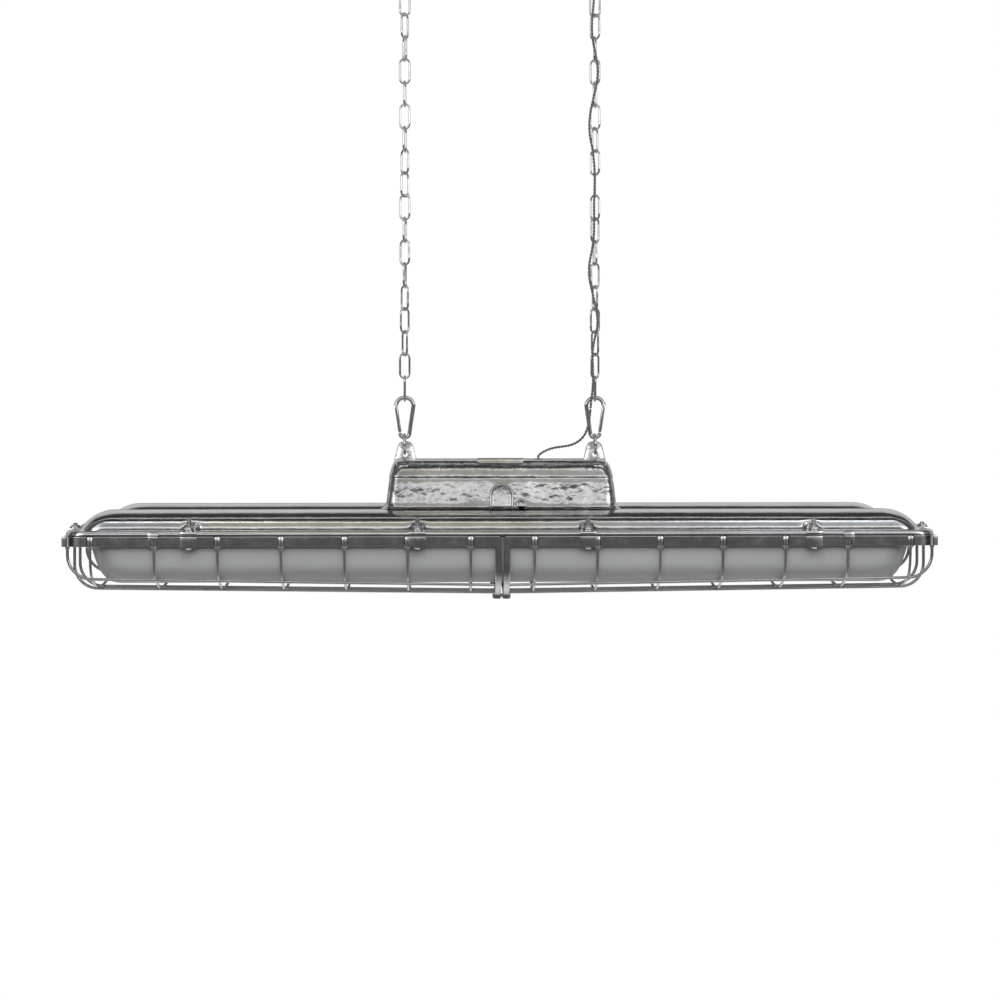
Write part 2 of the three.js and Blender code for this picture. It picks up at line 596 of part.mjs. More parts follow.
add(lamp, 'gear_box', gearBox(), hammeredCasting);
const blankFold = BLANK_FOLD.map(([y, z]) => new THREE.Vector2(y, z));
const blank = strap(blankFold, BLANK.thickness, BLANK.low, BLANK.high);
add(lamp, 'blank_plate', blank, castAluminium);
const trayLow = GEAR_BOX.base + GAP;
add(lamp, 'gear_tray', plate(TRAY, trayLow, trayLow + TRAY.thickness), platedSteel);
add(lamp, 'flex_grommet', grommet(), blackRubber);
const floor = trayLow + TRAY.thickness + GAP;
for (const [name, side] of [['front', -1], ['rear', 1]]) {
  const ballast = plate(BALLAST, floor, floor + BALLAST.height);
  add(lamp, `ballast_${name}`, ballast, zincBolt, { x: BALLAST.x, y: side * BALLAST.y });
}
const { halfLength, halfWidth, height } = TERMINALS;
const terminals = block(V(-halfLength, -halfWidth, floor), V(halfLength, halfWidth, floor + height));
add(lamp, 'terminal_block', terminals, whitePlastic, { x: TERMINALS.x });

for (const [name, side] of ENDS) {
  const x = side * EAR_X;
  const turn = side > 0 ? 0 : Math.PI;
  add(lamp, `ring_${name}`, splitRing(), platedSteel, { x });
  add(lamp, `carabiner_${name}`, carabinerFrame(), platedSteel, { x, turn });
  add(lamp, `gate_${name}`, carabinerGate(), platedSteel, { x, turn });
  add(lamp, `chain_${name}`, chain(side < 0 ? LEFT_TURNS : RIGHT_TURNS), platedSteel, { x });
  add(lamp, `top_link_${name}`, link(TOP_LINK_LOW).rotateZ(Math.PI / 2), platedSteel, { x });
}
add(lamp, 'flex_lower', flexPiece(FLEX_LOWER), braidedFlex);
add(lamp, 'flex_chain', flexPiece(FLEX_CHAIN), braidedFlex);
add(lamp, 'flex_top', flexPiece(FLEX_TOP), braidedFlex);

// ---- Ceiling fixings ----
add(assembly, 'ceiling_hook_left', ceilingHook(HOOK_PLATE), platedSteel, { x: -EAR_X });
add(assembly, 'ceiling_rose_right', ceilingHook(ROSE), platedSteel, { x: EAR_X });

export default assembly;
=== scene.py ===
"""Looks of the caged twin-trough pendant light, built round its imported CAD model.

Shapes are drawn in millimetres about the lamp's own datum (z = 0 on top of the guard rims, x along
the lamp, y = 0 midway between the troughs) and are placed in the frame, in metres, by Shape.piece.
"""
import json
import math

import bmesh
import bpy
from mathutils import Matrix, Vector, noise

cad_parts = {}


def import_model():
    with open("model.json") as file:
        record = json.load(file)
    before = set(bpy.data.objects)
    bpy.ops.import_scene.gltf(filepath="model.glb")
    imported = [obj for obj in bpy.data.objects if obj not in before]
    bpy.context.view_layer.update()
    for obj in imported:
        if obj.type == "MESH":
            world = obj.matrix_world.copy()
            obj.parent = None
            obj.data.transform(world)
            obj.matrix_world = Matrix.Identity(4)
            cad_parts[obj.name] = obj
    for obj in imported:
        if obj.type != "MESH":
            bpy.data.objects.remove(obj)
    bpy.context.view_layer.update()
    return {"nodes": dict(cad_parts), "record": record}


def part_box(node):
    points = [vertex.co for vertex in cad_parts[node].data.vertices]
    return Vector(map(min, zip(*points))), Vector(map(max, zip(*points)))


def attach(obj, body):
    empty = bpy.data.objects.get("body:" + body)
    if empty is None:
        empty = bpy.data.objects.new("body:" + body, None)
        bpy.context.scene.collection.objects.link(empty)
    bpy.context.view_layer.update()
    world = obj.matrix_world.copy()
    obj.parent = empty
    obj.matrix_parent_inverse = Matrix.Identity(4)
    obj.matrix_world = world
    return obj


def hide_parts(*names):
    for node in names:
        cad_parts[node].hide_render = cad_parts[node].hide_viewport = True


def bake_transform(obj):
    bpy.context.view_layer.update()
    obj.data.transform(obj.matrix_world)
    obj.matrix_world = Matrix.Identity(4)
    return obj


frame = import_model()
MM = 0.001


def middle(node):
    low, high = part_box(node)
    return (low + high) / 2


# ---- Places that come from the frame ----
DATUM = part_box("guard_front_right")[1].z
TROUGHS = {"front": middle("tube_front").y / MM, "rear": middle("tube_rear").y / MM}
HANGERS = {"left": middle("ring_left").x / MM, "right": middle("ring_right").x / MM}
TURNS = {"right": 0.0, "left": math.pi}

# ---- Driving dimensions, millimetres ----
RIM = dict(half_length=660.5, half_width=79, corner=30)
# lean and round are how far the dome's ends draw in, evenly and then close under its crest.
DOME = dict(half_length=641, half_width=62, corner=32, foot=8.0, rise=28.0, lean=21.0, round=20.0, wall=4.0)
# The flange at the dome's foot, from its underside round: (half length, half width, corner, z).
FLANGE = [
    (626, 58, 24, 0.3), (655, 78.2, 29, 0.3), (656.2, 79.2, 30, 0.6), (657.2, 80.6, 30, 1.4),
    (657.35, 80.7, 31, 1.9), (657.1, 80.4, 31, 3.8), (656.8, 80, 31, 5.7), (656.4, 79.5, 31, 6.6),
    (655.6, 78.6, 30, 7.3), (654.4, 77.4, 29, 7.7), (653, 76, 28, 7.6), (651, 73.6, 28, 6.9),
    (648, 69.8, 29, 6.5), (644.6, 66, 31, 6.6), (642.2, 63.2, 32, 7.2),
]
END_WEB = [(624, 22), (634, 19), (641, 15.5), (645, 12.6), (650, 9.4)]  # (x, top) of the rib at each end
# How far the dome is pressed in beside a clamp bolt, and over what width and height.
POCKET = dict(deep=5.5, flat=4, fade=9, height=15)
LUG = dict(half=12.5, end_half=7.7, end_x=654, end_reach=13)
RING_X = [48 + 94.75 * i for i in range(7)]
TAB_RING = 5  # the guard wire whose boss has a square tab over it
CAGE_PROFILE = [(76, -10), (74.4, -36), (70.6, -54), (62.6, -66.6), (40, -79.4), (18, -84), (0, -85)]
# The cage's depth is multiplied by end at the lamp's ends, and by end + sag at its middle.
CAGE_STRETCH = dict(end=0.946, sag=0.113)
RING_WIRE = 2.1
BOSS = dict(width=12, out=77, bulge=4.4, top=-0.4)
RAIL = dict(radius=2.3, end_x=653.0, bend=36.0)
# Each lengthwise wire: how far out it is, its depth at the end, and how much deeper it is at the middle.
RAIL_PLACES = [(62.8, 64.5, 10.7), (17.7, 82.9, 8.0)]
GLASS_WALL = 3.4
NOTCH = 4.6  # radius of the rim's upper corners at the lamp's middle
# The guard rim's section: (outward from its path, z).
RIM_SECTION = [
    (-1.3, -0.1), (-0.8, -0.1), (-0.2, -0.4), (0, -0.9), (0.02, -1.3), (0.1, -7.5), (0.12, -14.3),
    (0.1, -14.7), (-0.2, -15.3), (-0.7, -15.5), (-1.2, -15.5), (-8.8, -15.5), (-9.4, -14.9),
    (-9.6, -13.6), (-9.6, -6.0), (-7.0, -6.0), (-7.0, -0.1),
]
ARCH_PROFILE = [(75.2, -9), (75.2, -48), (72, -62), (62.8, -73.5), (45, -84), (17.7, -92), (0, -93.5)]
SIDE_BOLT_X = (128, 469)
SIDE_BOLT_Y = 77.5
END_BOLT_X = 656
ARCH_BOLT_Z = -98
ARCH_INNER = 1.7
ARCH_WIDTH = 9.3
STUD_TOP = 27.8
EAR_X = 152
EAR_HOLE_Z = 117.5
EAR_OUTLINE = [
    (-20, 102), (20, 102), (18, 109), (16.2, 116), (14.2, 126), (12.4, 133), (9.6, 137.4), (5, 139.8),
    (0, 140.3), (-5, 139.8), (-9.6, 137.4), (-12.4, 133), (-14.2, 126), (-16.2, 116), (-18, 109),
]
EAR_RIB = [(20, 114, 14), (56, 112, 13), (72, 109.6, 12), (80, 106.6, 10), (85, 101.5, 8)]
# The arched bosses on the box's faces, large and small: (x, half width, crown, lift).
ARCHED_BOSSES = [(0, 18.5, 76, 3.6), (31, 8.2, 53, 2.6)]
BOSS_FOOT = 41.0
BLANK = dict(low=-37, high=35, rounding=2.4)
BLANK_FOLD = [
    (-44, 111.2), (-46.2, 113), (-50, 113.5), (-62, 113.6), (-73.4, 113.6), (-76, 112.9), (-77.8, 110.4),
    (-79.9, 106.6),
]
RING = dict(radius=16.15, low=119.25, wire=1.25, turns=1.94)
# wide and narrow are the radii of the hook's upper and lower bends.
CARABINER = dict(low=145.7, top=210.1, wire=3.3, wide=14.2, narrow=7.4)
GATE = dict(wire=2.7, hinge_gap=2.6, latch_gap=2.8)
CHAIN_LOW = 204.8
TOP_LINK_LOW = 858.7
LINK = dict(wire=1.7, half_width=7.7, pitch=36.4)
HOOK = dict(radius=9.0, drop=42.0, wire=2.5)
FLEX_DIAMETER = 4.2
FLEX_LAY = 11.0  # length of one full twist of its two cores
FLEX_STEP = 1.1
# How each chain's links are turned about z, from the lowest up, in degrees.
LEFT_TURNS = [90, 12, 119, 39, 133, 80, 154, 78, 162, 48, 135, 78, 164, 85, 180, 108, 53, 0]
RIGHT_TURNS = [90, 38, 126, 28, 112, 34, 102, 36, 144, 84, 144, 55, 156, 70, 150, 77, 146, 180]
FLEX_LOWER = [
    (62, 14, 99), (62, 14, 112.6), (63.5, 13.5, 117.2), (67.4, 12.3, 120.8), (73.5, 10, 124.2),
    (81, 7, 127.4), (90, 3, 129.8), (101, -1.6, 131.4), (111, -5.4, 133.2), (120, -8.4, 136.6),
    (128, -10.4, 141.8), (134, -11.2, 148.4), (138.4, -11.5, 156.5), (141.4, -11.5, 167),
    (143.6, -11.5, 180), (145, -11.8, 193),
]
FLEX_CHAIN = [(145, -11.8, 193.6), (146, -12.2, 206)] + [(x, -12.4, z) for x, z in (
    (148, 222), (149, 240), (148.4, 262), (148.2, 282), (151, 302), (155.4, 322), (155.6, 340),
    (152, 360), (147, 382), (143, 402), (143, 424), (147, 446), (150.2, 470), (150.6, 496), (150.6, 522),
    (151.4, 550), (151, 580), (148, 608), (143.6, 632), (143.4, 656), (147.6, 682), (154, 710),
    (156.4, 734), (153.4, 758), (149, 780), (147, 804), (148.6, 828), (150, 846), (150.5, 858.4),
)]
FLEX_TOP = [
    (150.5, -12.4, 859), (151, -13.4, 869), (151.8, -16, 881), (152.6, -19.6, 894), (153, -22, 905),
    (153, -22.4, 914),
]


# ---- Materials ----
def map_range(tree, source, values, smooth=False):
    """Maps source from values[0:2] to values[2:4]."""
    node = tree.nodes.new("ShaderNodeMapRange")
    if smooth:
        node.interpolation_type = "SMOOTHSTEP"
    for name, value in zip(("From Min", "From Max", "To Min", "To Max"), values):
        node.inputs[name].default_value = value
    tree.links.new(source, node.inputs["Value"])
    return node.outputs["Result"]


def colour_ramp(tree, source, stops):
    """A ramp through stops of (place, colour), where a bare number is a grey."""
    node = tree.nodes.new("ShaderNodeValToRGB")
    elements = node.color_ramp.elements
    while len(elements) < len(stops):
        elements.new(0.5)
    for element, (place, colour) in zip(elements, stops):
        element.position = place
        element.color = (*colour, 1) if isinstance(colour, tuple) else (colour, colour, colour, 1)
    tree.links.new(source, node.inputs["Fac"])
    return node.outputs["Color"]


class Nodes:
    """A material's node tree, with short calls for what the materials here need."""

    def __init__(self, name):
        self.material = bpy.data.materials.new(name)
        self.material.use_nodes = True
        self.tree = self.material.node_tree
        self.shader = self.tree.nodes["Principled BSDF"]
        self.coords = self.tree.nodes.new("ShaderNodeTexCoord").outputs["Object"]

    def link(self, source, target):
        self.tree.links.new(source, target)

    def feed(self, name, source):
        self.link(source, self.shader.inputs[name])

    def set(self, **values):
        for name, value in values.items():
            self.shader.inputs[name.replace("_", " ")].default_value = value
        return self

    def noise(self, scale, detail=4.0, roughness=0.55, stretch=(1, 1, 1)):
        mapping = self.tree.nodes.new("ShaderNodeMapping")
        mapping.inputs["Scale"].default_value = stretch
        self.link(self.coords, mapping.inputs["Vector"])
        node = self.tree.nodes.new("ShaderNodeTexNoise")
        for name, value in (("Scale", scale), ("Detail", detail), ("Roughness", roughness)):
            node.inputs[name].default_value = value
        self.link(mapping.outputs["Vector"], node.inputs["Vector"])
        return node.outputs["Fac"]

    def tone(self, source, dark, light):
        """Feeds the base colour from dark to light by source."""
        self.feed("Base Color", colour_ramp(self.tree, source, [(0.3, dark), (0.7, light)]))

    def gloss(self, scale, detail, low, high):
        """Lets the roughness wander from low to high."""
        self.feed("Roughness", map_range(self.tree, self.noise(scale, detail), (0.3, 0.7, low, high)))

    def bump(self, source, distance, under=None):
        node = self.tree.nodes.new("ShaderNodeBump")
        node.inputs["Distance"].default_value = distance
        node.inputs["Strength"].default_value = 1.0
        self.link(source, node.inputs["Height"])
        if under is not None:
            self.link(under, node.inputs["Normal"])
        return node.outputs["Normal"]


def metal(name, dark, light, rough, waves, grain):
    """Metal whose tone, gloss and surface vary. waves and grain are (scale, height in metres)."""
    made = Nodes(name).set(Metallic=1.0)
    made.tone(made.noise(14, 6, 0.6), dark, light)
    made.gloss(60, 5, *rough)
    soft = made.bump(made.noise(waves[0], 3), waves[1])
    made.feed("Normal", made.bump(made.noise(grain[0], 5, 0.65), grain[1], under=soft))
    return made.material


def dielectric(name, dark, light, rough, scale=40, height=0.0001):
    made = Nodes(name)
    made.tone(made.noise(scale, 5), dark, light)
    made.gloss(scale * 2, 4, *rough)
    made.feed("Normal", made.bump(made.noise(scale * 5, 4), height))
    return made.material


def opal_glass():
    made = Nodes("opal_glass").set(Metallic=0.0, Coat_Weight=0.35, Coat_Roughness=0.12, IOR=1.5)
    made.set(Subsurface_Weight=0.25, Subsurface_Radius=(0.02, 0.02, 0.02), Subsurface_Scale=0.4)
    made.tone(made.noise(5, 4, 0.5, (0.3, 1, 1)), (0.40, 0.405, 0.41), (0.45, 0.455, 0.46))
    made.gloss(90, 4, 0.32, 0.42)
    made.feed("Normal", made.bump(made.noise(420, 3), 0.00003))
    return made.material


def braid():
    made = Nodes("braided_flex").set(Metallic=0.0, Roughness=0.8)
    weave = made.tree.nodes.new("ShaderNodeTexVoronoi")
    weave.inputs["Scale"].default_value = 900
    made.link(made.coords, weave.inputs["Vector"])
    cells = weave.outputs["Distance"]
    stops = [(0.1, (0.035, 0.032, 0.03)), (0.8, (0.24, 0.22, 0.20))]
    made.feed("Base Color", colour_ramp(made.tree, cells, stops))
    made.feed("Normal", made.bump(cells, 0.0003))
    return made.material


# Each metal's dark and light tones, roughness from and to, and its waves and grain.
METALS = {
    "cast_aluminium": (0.62, 0.82, (0.07, 0.20), (18, 0.0008), (240, 0.00010)),
    "hammered_casting": ((0.52, 0.53, 0.54), 0.84, (0.08, 0.20), (45, 0.0012), (230, 0.00035)),
    "guard_metal": ((0.56, 0.56, 0.57), 0.80, (0.12, 0.26), (30, 0.0004), (260, 0.0001)),
    "plated_steel": ((0.72, 0.72, 0.73), 0.90, (0.06, 0.16), (60, 0.0001), (500, 0.00004)),
    "bolt_steel": (0.56, 0.84, (0.12, 0.28), (90, 0.0002), (600, 0.0001)),
}
MATERIALS = {
    **{name: metal(name, *looks) for name, looks in METALS.items()},
    "opal_glass": opal_glass(),
    "rubber": dielectric("rubber", 0.015, 0.035, (0.6, 0.8)),
    "enamel": dielectric("enamel", (0.80, 0.80, 0.77), (0.86, 0.86, 0.84), (0.15, 0.25)),
    "tube_glass": dielectric("tube_glass", (0.84, 0.84, 0.82), (0.88, 0.88, 0.87), (0.1, 0.18)),
    "white_plastic": dielectric("white_plastic", (0.68, 0.68, 0.64), (0.76, 0.76, 0.72), (0.35, 0.5)),
    "flex_fabric": braid(),
}


# ---- Mesh tools ----
def smooth_line(points, per_span):
    """Points of a Catmull-Rom curve through the given points."""
    ends = [points[0] * 2 - points[1], *points, points[-1] * 2 - points[-2]]
    line = []
    for i in range(1, len(ends) - 2):
        p0, p1, p2, p3 = ends[i - 1 : i + 3]
        for step in range(per_span):
            t = step / per_span
            a = p1 * 2
            b = (p2 - p0) * t
            c = (p0 * 2 - p1 * 5 + p2 * 4 - p3) * t * t
            d = (p1 * 3 - p0 - p2 * 3 + p3) * t * t * t
            line.append((a + b + c + d) * 0.5)
    line.append(points[-1].copy())
    return line


def outline(half_length, half_width, corner, spacing_count=(1, 1), per_corner=10):
    """A round-cornered rectangle, anticlockwise from the end at +x, as (x, y) pairs.

    spacing_count is how many stretches its short and its long straight sides are cut into."""
    short, long = spacing_count
    corner = min(corner, half_width - 0.01, half_length - 0.01)
    arcs = []
    for quarter in range(4):
        centre_x = (half_length - corner) * (1 if quarter in (0, 3) else -1)
        centre_y = (half_width - corner) * (1 if quarter < 2 else -1)
        angles = [(quarter + step / per_corner) * math.pi / 2 for step in range(per_corner + 1)]
        arcs.append([(centre_x + corner * math.cos(a), centre_y + corner * math.sin(a)) for a in angles])
    points = []
    for quarter, arc in enumerate(arcs):
        points += arc
        here, there = arc[-1], arcs[(quarter + 1) % 4][0]
        cuts = short if quarter % 2 else long
        for step in range(1, cuts):
            t = step / cuts
            points.append(tuple(a * (1 - t) + b * t for a, b in zip(here, there)))
    return points


class Shape:
    """A mesh under construction, in millimetres."""

    def __init__(self):
        self.bm = bmesh.new()

    def rings(self, rings, closed=False, caps=True):
        """Skins a row of rings that have equal numbers of points; closed joins the last to the first."""
        made = [[self.bm.verts.new(p) for p in ring] for ring in rings]
        pairs = list(zip(made, made[1:]))
        if closed:
            pairs.append((made[-1], made[0]))
        count = len(made[0])
        for a, b in pairs:
            for i in range(count):
                j = (i + 1) % count
                self.bm.faces.new((a[i], a[j], b[j], b[i]))
        if caps and not closed:
            self.bm.faces.new(list(reversed(made[0])))
            self.bm.faces.new(made[-1])
        return self

    def tube(self, path, radius, sides=10, closed=False):
        """A round bar along path. radius is a number or a function of the share of the way along."""
        size = radius if callable(radius) else (lambda share: radius)
        section = [(math.cos(a), math.sin(a)) for a in (2 * math.pi * k / sides for k in range(sides))]
        frames = list(self.frames(path, closed))
        rings = []
        for i, (place, across, up) in enumerate(frames):
            r = size(i / (len(frames) - 1))
            rings.append([place + across * (x * r) + up * (y * r) for x, y in section])
        return self.rings(rings, closed)

    @staticmethod
    def frames(path, closed):
        """Steady cross directions at each point of a path."""
        count = len(path)
        tangents = []
        for i in range(count):
            before = path[(i - 1) % count] if closed or i else path[0]
            after = path[(i + 1) % count] if closed or i < count - 1 else path[-1]
            tangents.append((after - before).normalized())
        helper = Vector((0, 0, 1)) if abs(tangents[0].z) < 0.8 else Vector((0, 1, 0))
        across = tangents[0].cross(helper).normalized()
        for place, tangent in zip(path, tangents):
            across = (across - tangent * across.dot(tangent)).normalized()
            yield place, across, across.cross(tangent)

    def lathe(self, profile, sides=24, centre=(0, 0, 0), turn=None):
        """Spins (radius, z) pairs about z. Radius 0 at either end closes the body."""
        turn = turn or Matrix.Identity(3)
        centre = Vector(centre)
        rings = []
        for radius, z in profile:
            r = max(radius, 0.01)
            ring = []
            for k in range(sides):
                angle = 2 * math.pi * k / sides
                ring.append(centre + turn @ Vector((r * math.cos(angle), r * math.sin(angle), z)))
            rings.append(ring)
        return self.rings(rings)

    def box(self, low, high, bevel, taper=(0, 0)):
        """A block with rounded edges. taper is how far its top draws in, along x and y."""
        corners = []
        for z, inset in ((low[2], (0, 0)), (high[2], taper)):
            corners.append([
                (low[0] + inset[0], low[1] + inset[1], z), (high[0] - inset[0], low[1] + inset[1], z),
                (high[0] - inset[0], high[1] - inset[1], z), (low[0] + inset[0], high[1] - inset[1], z),
            ])
        before = set(self.bm.edges)
        self.rings(corners)
        new = [e for e in self.bm.edges if e not in before]
        bmesh.ops.bevel(self.bm, geom=new, offset=bevel, segments=2, profile=0.6, affect="EDGES")
        return self

    @classmethod
    def shell(cls, outer, inner):
        """A hollow body: rings outside and rings inside, which meet in the first outer ring."""
        count = len(outer[0])
        shape = cls().rings(outer, caps=False)
        shape.bm.faces.new(list(shape.bm.verts)[-count:])
        inside = cls().rings(inner + [outer[0]], caps=False)
        inside.bm.faces.new(list(inside.bm.verts)[:count])
        temp = bpy.data.meshes.new("inside")
        inside.bm.to_mesh(temp)
        inside.bm.free()
        shape.bm.from_mesh(temp)
        bpy.data.meshes.remove(temp)
        bmesh.ops.remove_doubles(shape.bm, verts=shape.bm.verts, dist=0.001)
        return shape

    def piece(self, name, slot, body, nodes=(), at=(0, 0, 0), turn=0.0, ceiling=False, sharp=40, ride=True):
        """Turns the shape about z, places it in the frame and makes it an object."""
        bmesh.ops.recalc_face_normals(self.bm, faces=self.bm.faces)
        mesh = bpy.data.meshes.new(name)
        self.bm.to_mesh(mesh)
        self.bm.free()
        lift = Vector((0, 0, 0 if ceiling else DATUM))
        place = Matrix.Translation(lift + Vector(at) * MM) @ Matrix.Rotation(turn, 4, "Z")
        mesh.transform(place @ Matrix.Scale(MM, 4))
        mesh.shade_smooth()
        mesh.set_sharp_from_angle(angle=math.radians(sharp))
        made = bpy.data.objects.new(name, mesh)
        bpy.context.scene.collection.objects.link(made)
        mesh.materials.append(MATERIALS[slot])
        if nodes:
            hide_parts(*nodes)
        if ride:
            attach(made, body)
        return made


def smoothstep(x):
    x = min(max(x, 0.0), 1.0)
    return x * x * (3 - 2 * x)


def span(side, near, far):
    """Low and high y of a block that reaches from near to far on one side."""
    return min(side * near, side * far), max(side * near, side * far)


# ---- Cords, first of all ----
def twisted_flex(name, points):
    """Two braided cores twisted about a line."""
    line = smooth_line([Vector(p) for p in points], 8)
    shape = Shape()
    core = FLEX_DIAMETER / 4
    walked = [0.0]
    for a, b in zip(line, line[1:]):
        walked.append(walked[-1] + (b - a).length)
    dense = []
    total = walked[-1]
    for k in range(int(total / FLEX_STEP) + 1):
        reach = min(k * FLEX_STEP, total)
        i = max(j for j in range(len(walked)) if walked[j] <= reach + 1e-9)
        i = min(i, len(line) - 2)
        t = (reach - walked[i]) / (walked[i + 1] - walked[i])
        dense.append((line[i].lerp(line[i + 1], t), reach))
    frames = list(Shape.frames([p for p, _ in dense], False))
    for phase in (0.0, math.pi):
        path = []
        for (place, across, up), (_, reach) in zip(frames, dense):
            angle = 2 * math.pi * reach / FLEX_LAY + phase
            path.append(place + across * (core * math.cos(angle)) + up * (core * math.sin(angle)))
        shape.tube(path, core * 1.04, 8)
    piece = shape.piece(name, "flex_fabric", None, ride=False)
    route = [Vector((p.x * MM, p.y * MM, p.z * MM + DATUM)) for p in line]
    return piece, route, total * MM


def flexes():
    made = {}
    for name, points in (("flex_lower", FLEX_LOWER), ("flex_chain", FLEX_CHAIN), ("flex_top", FLEX_TOP)):
        piece, route, length = twisted_flex(f"{name}_cores", points)
        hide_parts(name)
        tuple(route[0])
        [tuple(p) for p in route]
        made[name] = piece
    return made


# ---- Trough housings ----
def dome_layers(inset=0.0):
    """Outline sizes of the dome from its foot to its crest: (half length, half width, corner, z)."""
    steps = 20
    layers = []
    for step in range(steps + 1):
        angle = step / steps * math.pi / 2 * 0.985
        rise = math.sin(angle) ** 0.86
        width = max(DOME["half_width"] * math.cos(angle) ** 0.8 - inset, 0.4)
        rounding = 1 - math.sqrt(max(1 - rise ** 4, 0))
        length = DOME["half_length"] - DOME["lean"] * rise - DOME["round"] * rounding - inset
        layers.append((length, width, min(DOME["corner"], width), DOME["foot"] + DOME["rise"] * rise - inset))
    return layers


def pocket(x, y, z):
    """How far the dome's side is pressed in beside the clamp bolts."""
    if z < DOME["foot"] - 0.5 or abs(y) < 20:
        return 0.0
    near = min(abs(abs(x) - bolt) for bolt in SIDE_BOLT_X)
    side = smoothstep(1 - (near - POCKET["flat"]) / POCKET["fade"])
    height = 1 - smoothstep((z - DOME["foot"]) / POCKET["height"])
    return POCKET["deep"] * side * height


def housing(name, y):
    outer = FLANGE + dome_layers()
    inner = [layer for layer in reversed(dome_layers(DOME["wall"])) if layer[3] > 4]
    rings = []
    for half_length, half_width, corner, z in outer + inner:
        ring = []
        for x, yy in outline(half_length, half_width, corner, (6, 240), 9):
            side = 1 if yy > 0 else -1
            ring.append(Vector((x, yy - side * pocket(x, yy, z), z)))
        rings.append(ring)
    shape = Shape.shell(rings[:len(outer)], rings[len(outer):])
    for end in (-1, 1):
        for x in SIDE_BOLT_X:
            for side in (-1, 1):
                low, high = span(side, 70, 86)
                shape.box((end * x - LUG["half"], low, 0.4), (end * x + LUG["half"], high, 7.4), 2.6)
        turn = Matrix.Rotation(0 if end > 0 else math.pi, 3, "Z")
        x, reach = end * LUG["end_x"], LUG["end_reach"]
        shape.box((x - LUG["end_half"], -reach, 0.4), (x + LUG["end_half"], reach, 8.4), 2.6)
        web = [
            [turn @ Vector((x, s * 3.4, z)) for s, z in ((-1, 6), (1, 6), (1, top), (-1, top))]
            for x, top in END_WEB
        ]
        shape.rings(web)
    return shape.piece(f"casting_{name}", "cast_aluminium", "lamp", [f"housing_{name}"], at=(0, y, 0))


# ---- Wire guards ----
def cage_point(y, z, x):
    return Vector((x, y, z * (CAGE_STRETCH["end"] + CAGE_STRETCH["sag"] * (1 - x / RIM["half_length"]))))


def ring_wire(shape, x):
    half = [cage_point(y, z, x) for y, z in CAGE_PROFILE]
    whole = half + [Vector((p.x, -p.y, p.z)) for p in reversed(half[:-1])]
    shape.tube(smooth_line(whole, 5), RING_WIRE, 10)
    for side in (-1, 1):
        ferrule = [(0, -20.5), (2.6, -20.5), (3.3, -19.4), (3.3, -15), (0, -15)]
        shape.lathe(ferrule, 14, (x, side * 75.2, 0))


def rail(shape, y, depth, deeper):
    def sag(x):
        return -depth - deeper * (1 - x / RIM["half_length"])

    bend = RAIL["bend"]
    steps = 14
    path = [Vector((x, y, sag(x))) for x in (6, 100, 220, 340, 460, 560)]
    for step in range(steps + 1):
        angle = step / steps * math.pi / 2
        x = RAIL["end_x"] - bend * (1 - math.sin(angle))
        path.append(Vector((x, y, sag(x) + bend * (1 - math.cos(angle)))))
    path += [Vector((RAIL["end_x"], y, z)) for z in (-28, -20, -12)]
    shape.tube(path, RAIL["radius"], 10)
    shape.lathe([(0, -20), (2.8, -20), (3.5, -19), (3.5, -15), (0, -15)], 14, (RAIL["end_x"], y, 0))


def rim(shape):
    rings = []
    for x, y, nx, ny in rim_path(**RIM):
        drop = NOTCH * (1 - math.sqrt(1 - max(1 - (x - ARCH_INNER) / NOTCH, 0) ** 2))
        rings.append([Vector((x + nx * out, y + ny * out, min(z, -0.1 - drop))) for out, z in RIM_SECTION])
    shape.rings(rings)
    shape.box((641, -66, -15.4), (655, 66, -6.2), 0.8)


def rim_path(half_length, half_width, corner):
    """The guard's open U seen from above: (x, y, outward x, outward y) from one arch to the other."""
    straight = [ARCH_INNER + NOTCH * share for share in (0, 0.04, 0.13, 0.28, 0.5, 0.74, 1)]
    straight += [60, 200, 340, 480, 600]
    path = [(x, half_width, 0, 1) for x in straight]
    for side in (1, -1):
        for step in range(13):
            share = step / 12 if side > 0 else 1 - step / 12
            angle = (1 - share) * math.pi / 2 * side
            nx, ny = math.cos(angle), math.sin(angle)
            centre_y = side * (half_width - corner)
            path.append((half_length - corner + corner * nx, centre_y + corner * ny, nx, ny))
    path += [(x, -half_width, 0, -1) for x in reversed(straight)]
    return path


def arch(shape):
    """The flat U-arch at the lamp's middle, with a foot for the bolt."""
    middle_x = ARCH_INNER + ARCH_WIDTH / 2
    half = [Vector((middle_x, y, z)) for y, z in ARCH_PROFILE]
    path = smooth_line(half + [Vector((middle_x, -p.y, p.z)) for p in reversed(half[:-1])], 6)
    reach, flat = ARCH_WIDTH / 2, 3.5
    rings = []
    for i, place in enumerate(path):
        along = (path[min(i + 1, len(path) - 1)] - path[max(i - 1, 0)]).normalized()
        out = Vector((1, 0, 0)).cross(along)
        section = [
            (-reach, 0.9 - flat), (-reach + 0.9, -flat), (reach - 0.9, -flat), (reach, 0.9 - flat),
            (reach, flat - 0.9), (reach - 0.9, flat), (-reach + 0.9, flat), (-reach, flat - 0.9),
        ]
        rings.append([place + Vector((x, 0, 0)) + out * t for x, t in section])
    shape.rings(rings)
    shape.box((ARCH_INNER, -10, -102), (ARCH_INNER + ARCH_WIDTH, 10, -90), 1.2)
    shape.box((ARCH_INNER + ARCH_WIDTH - 2, -8.5, -101.6), (ARCH_INNER + ARCH_WIDTH + 2.2, 8.5, -93.4), 1.8)


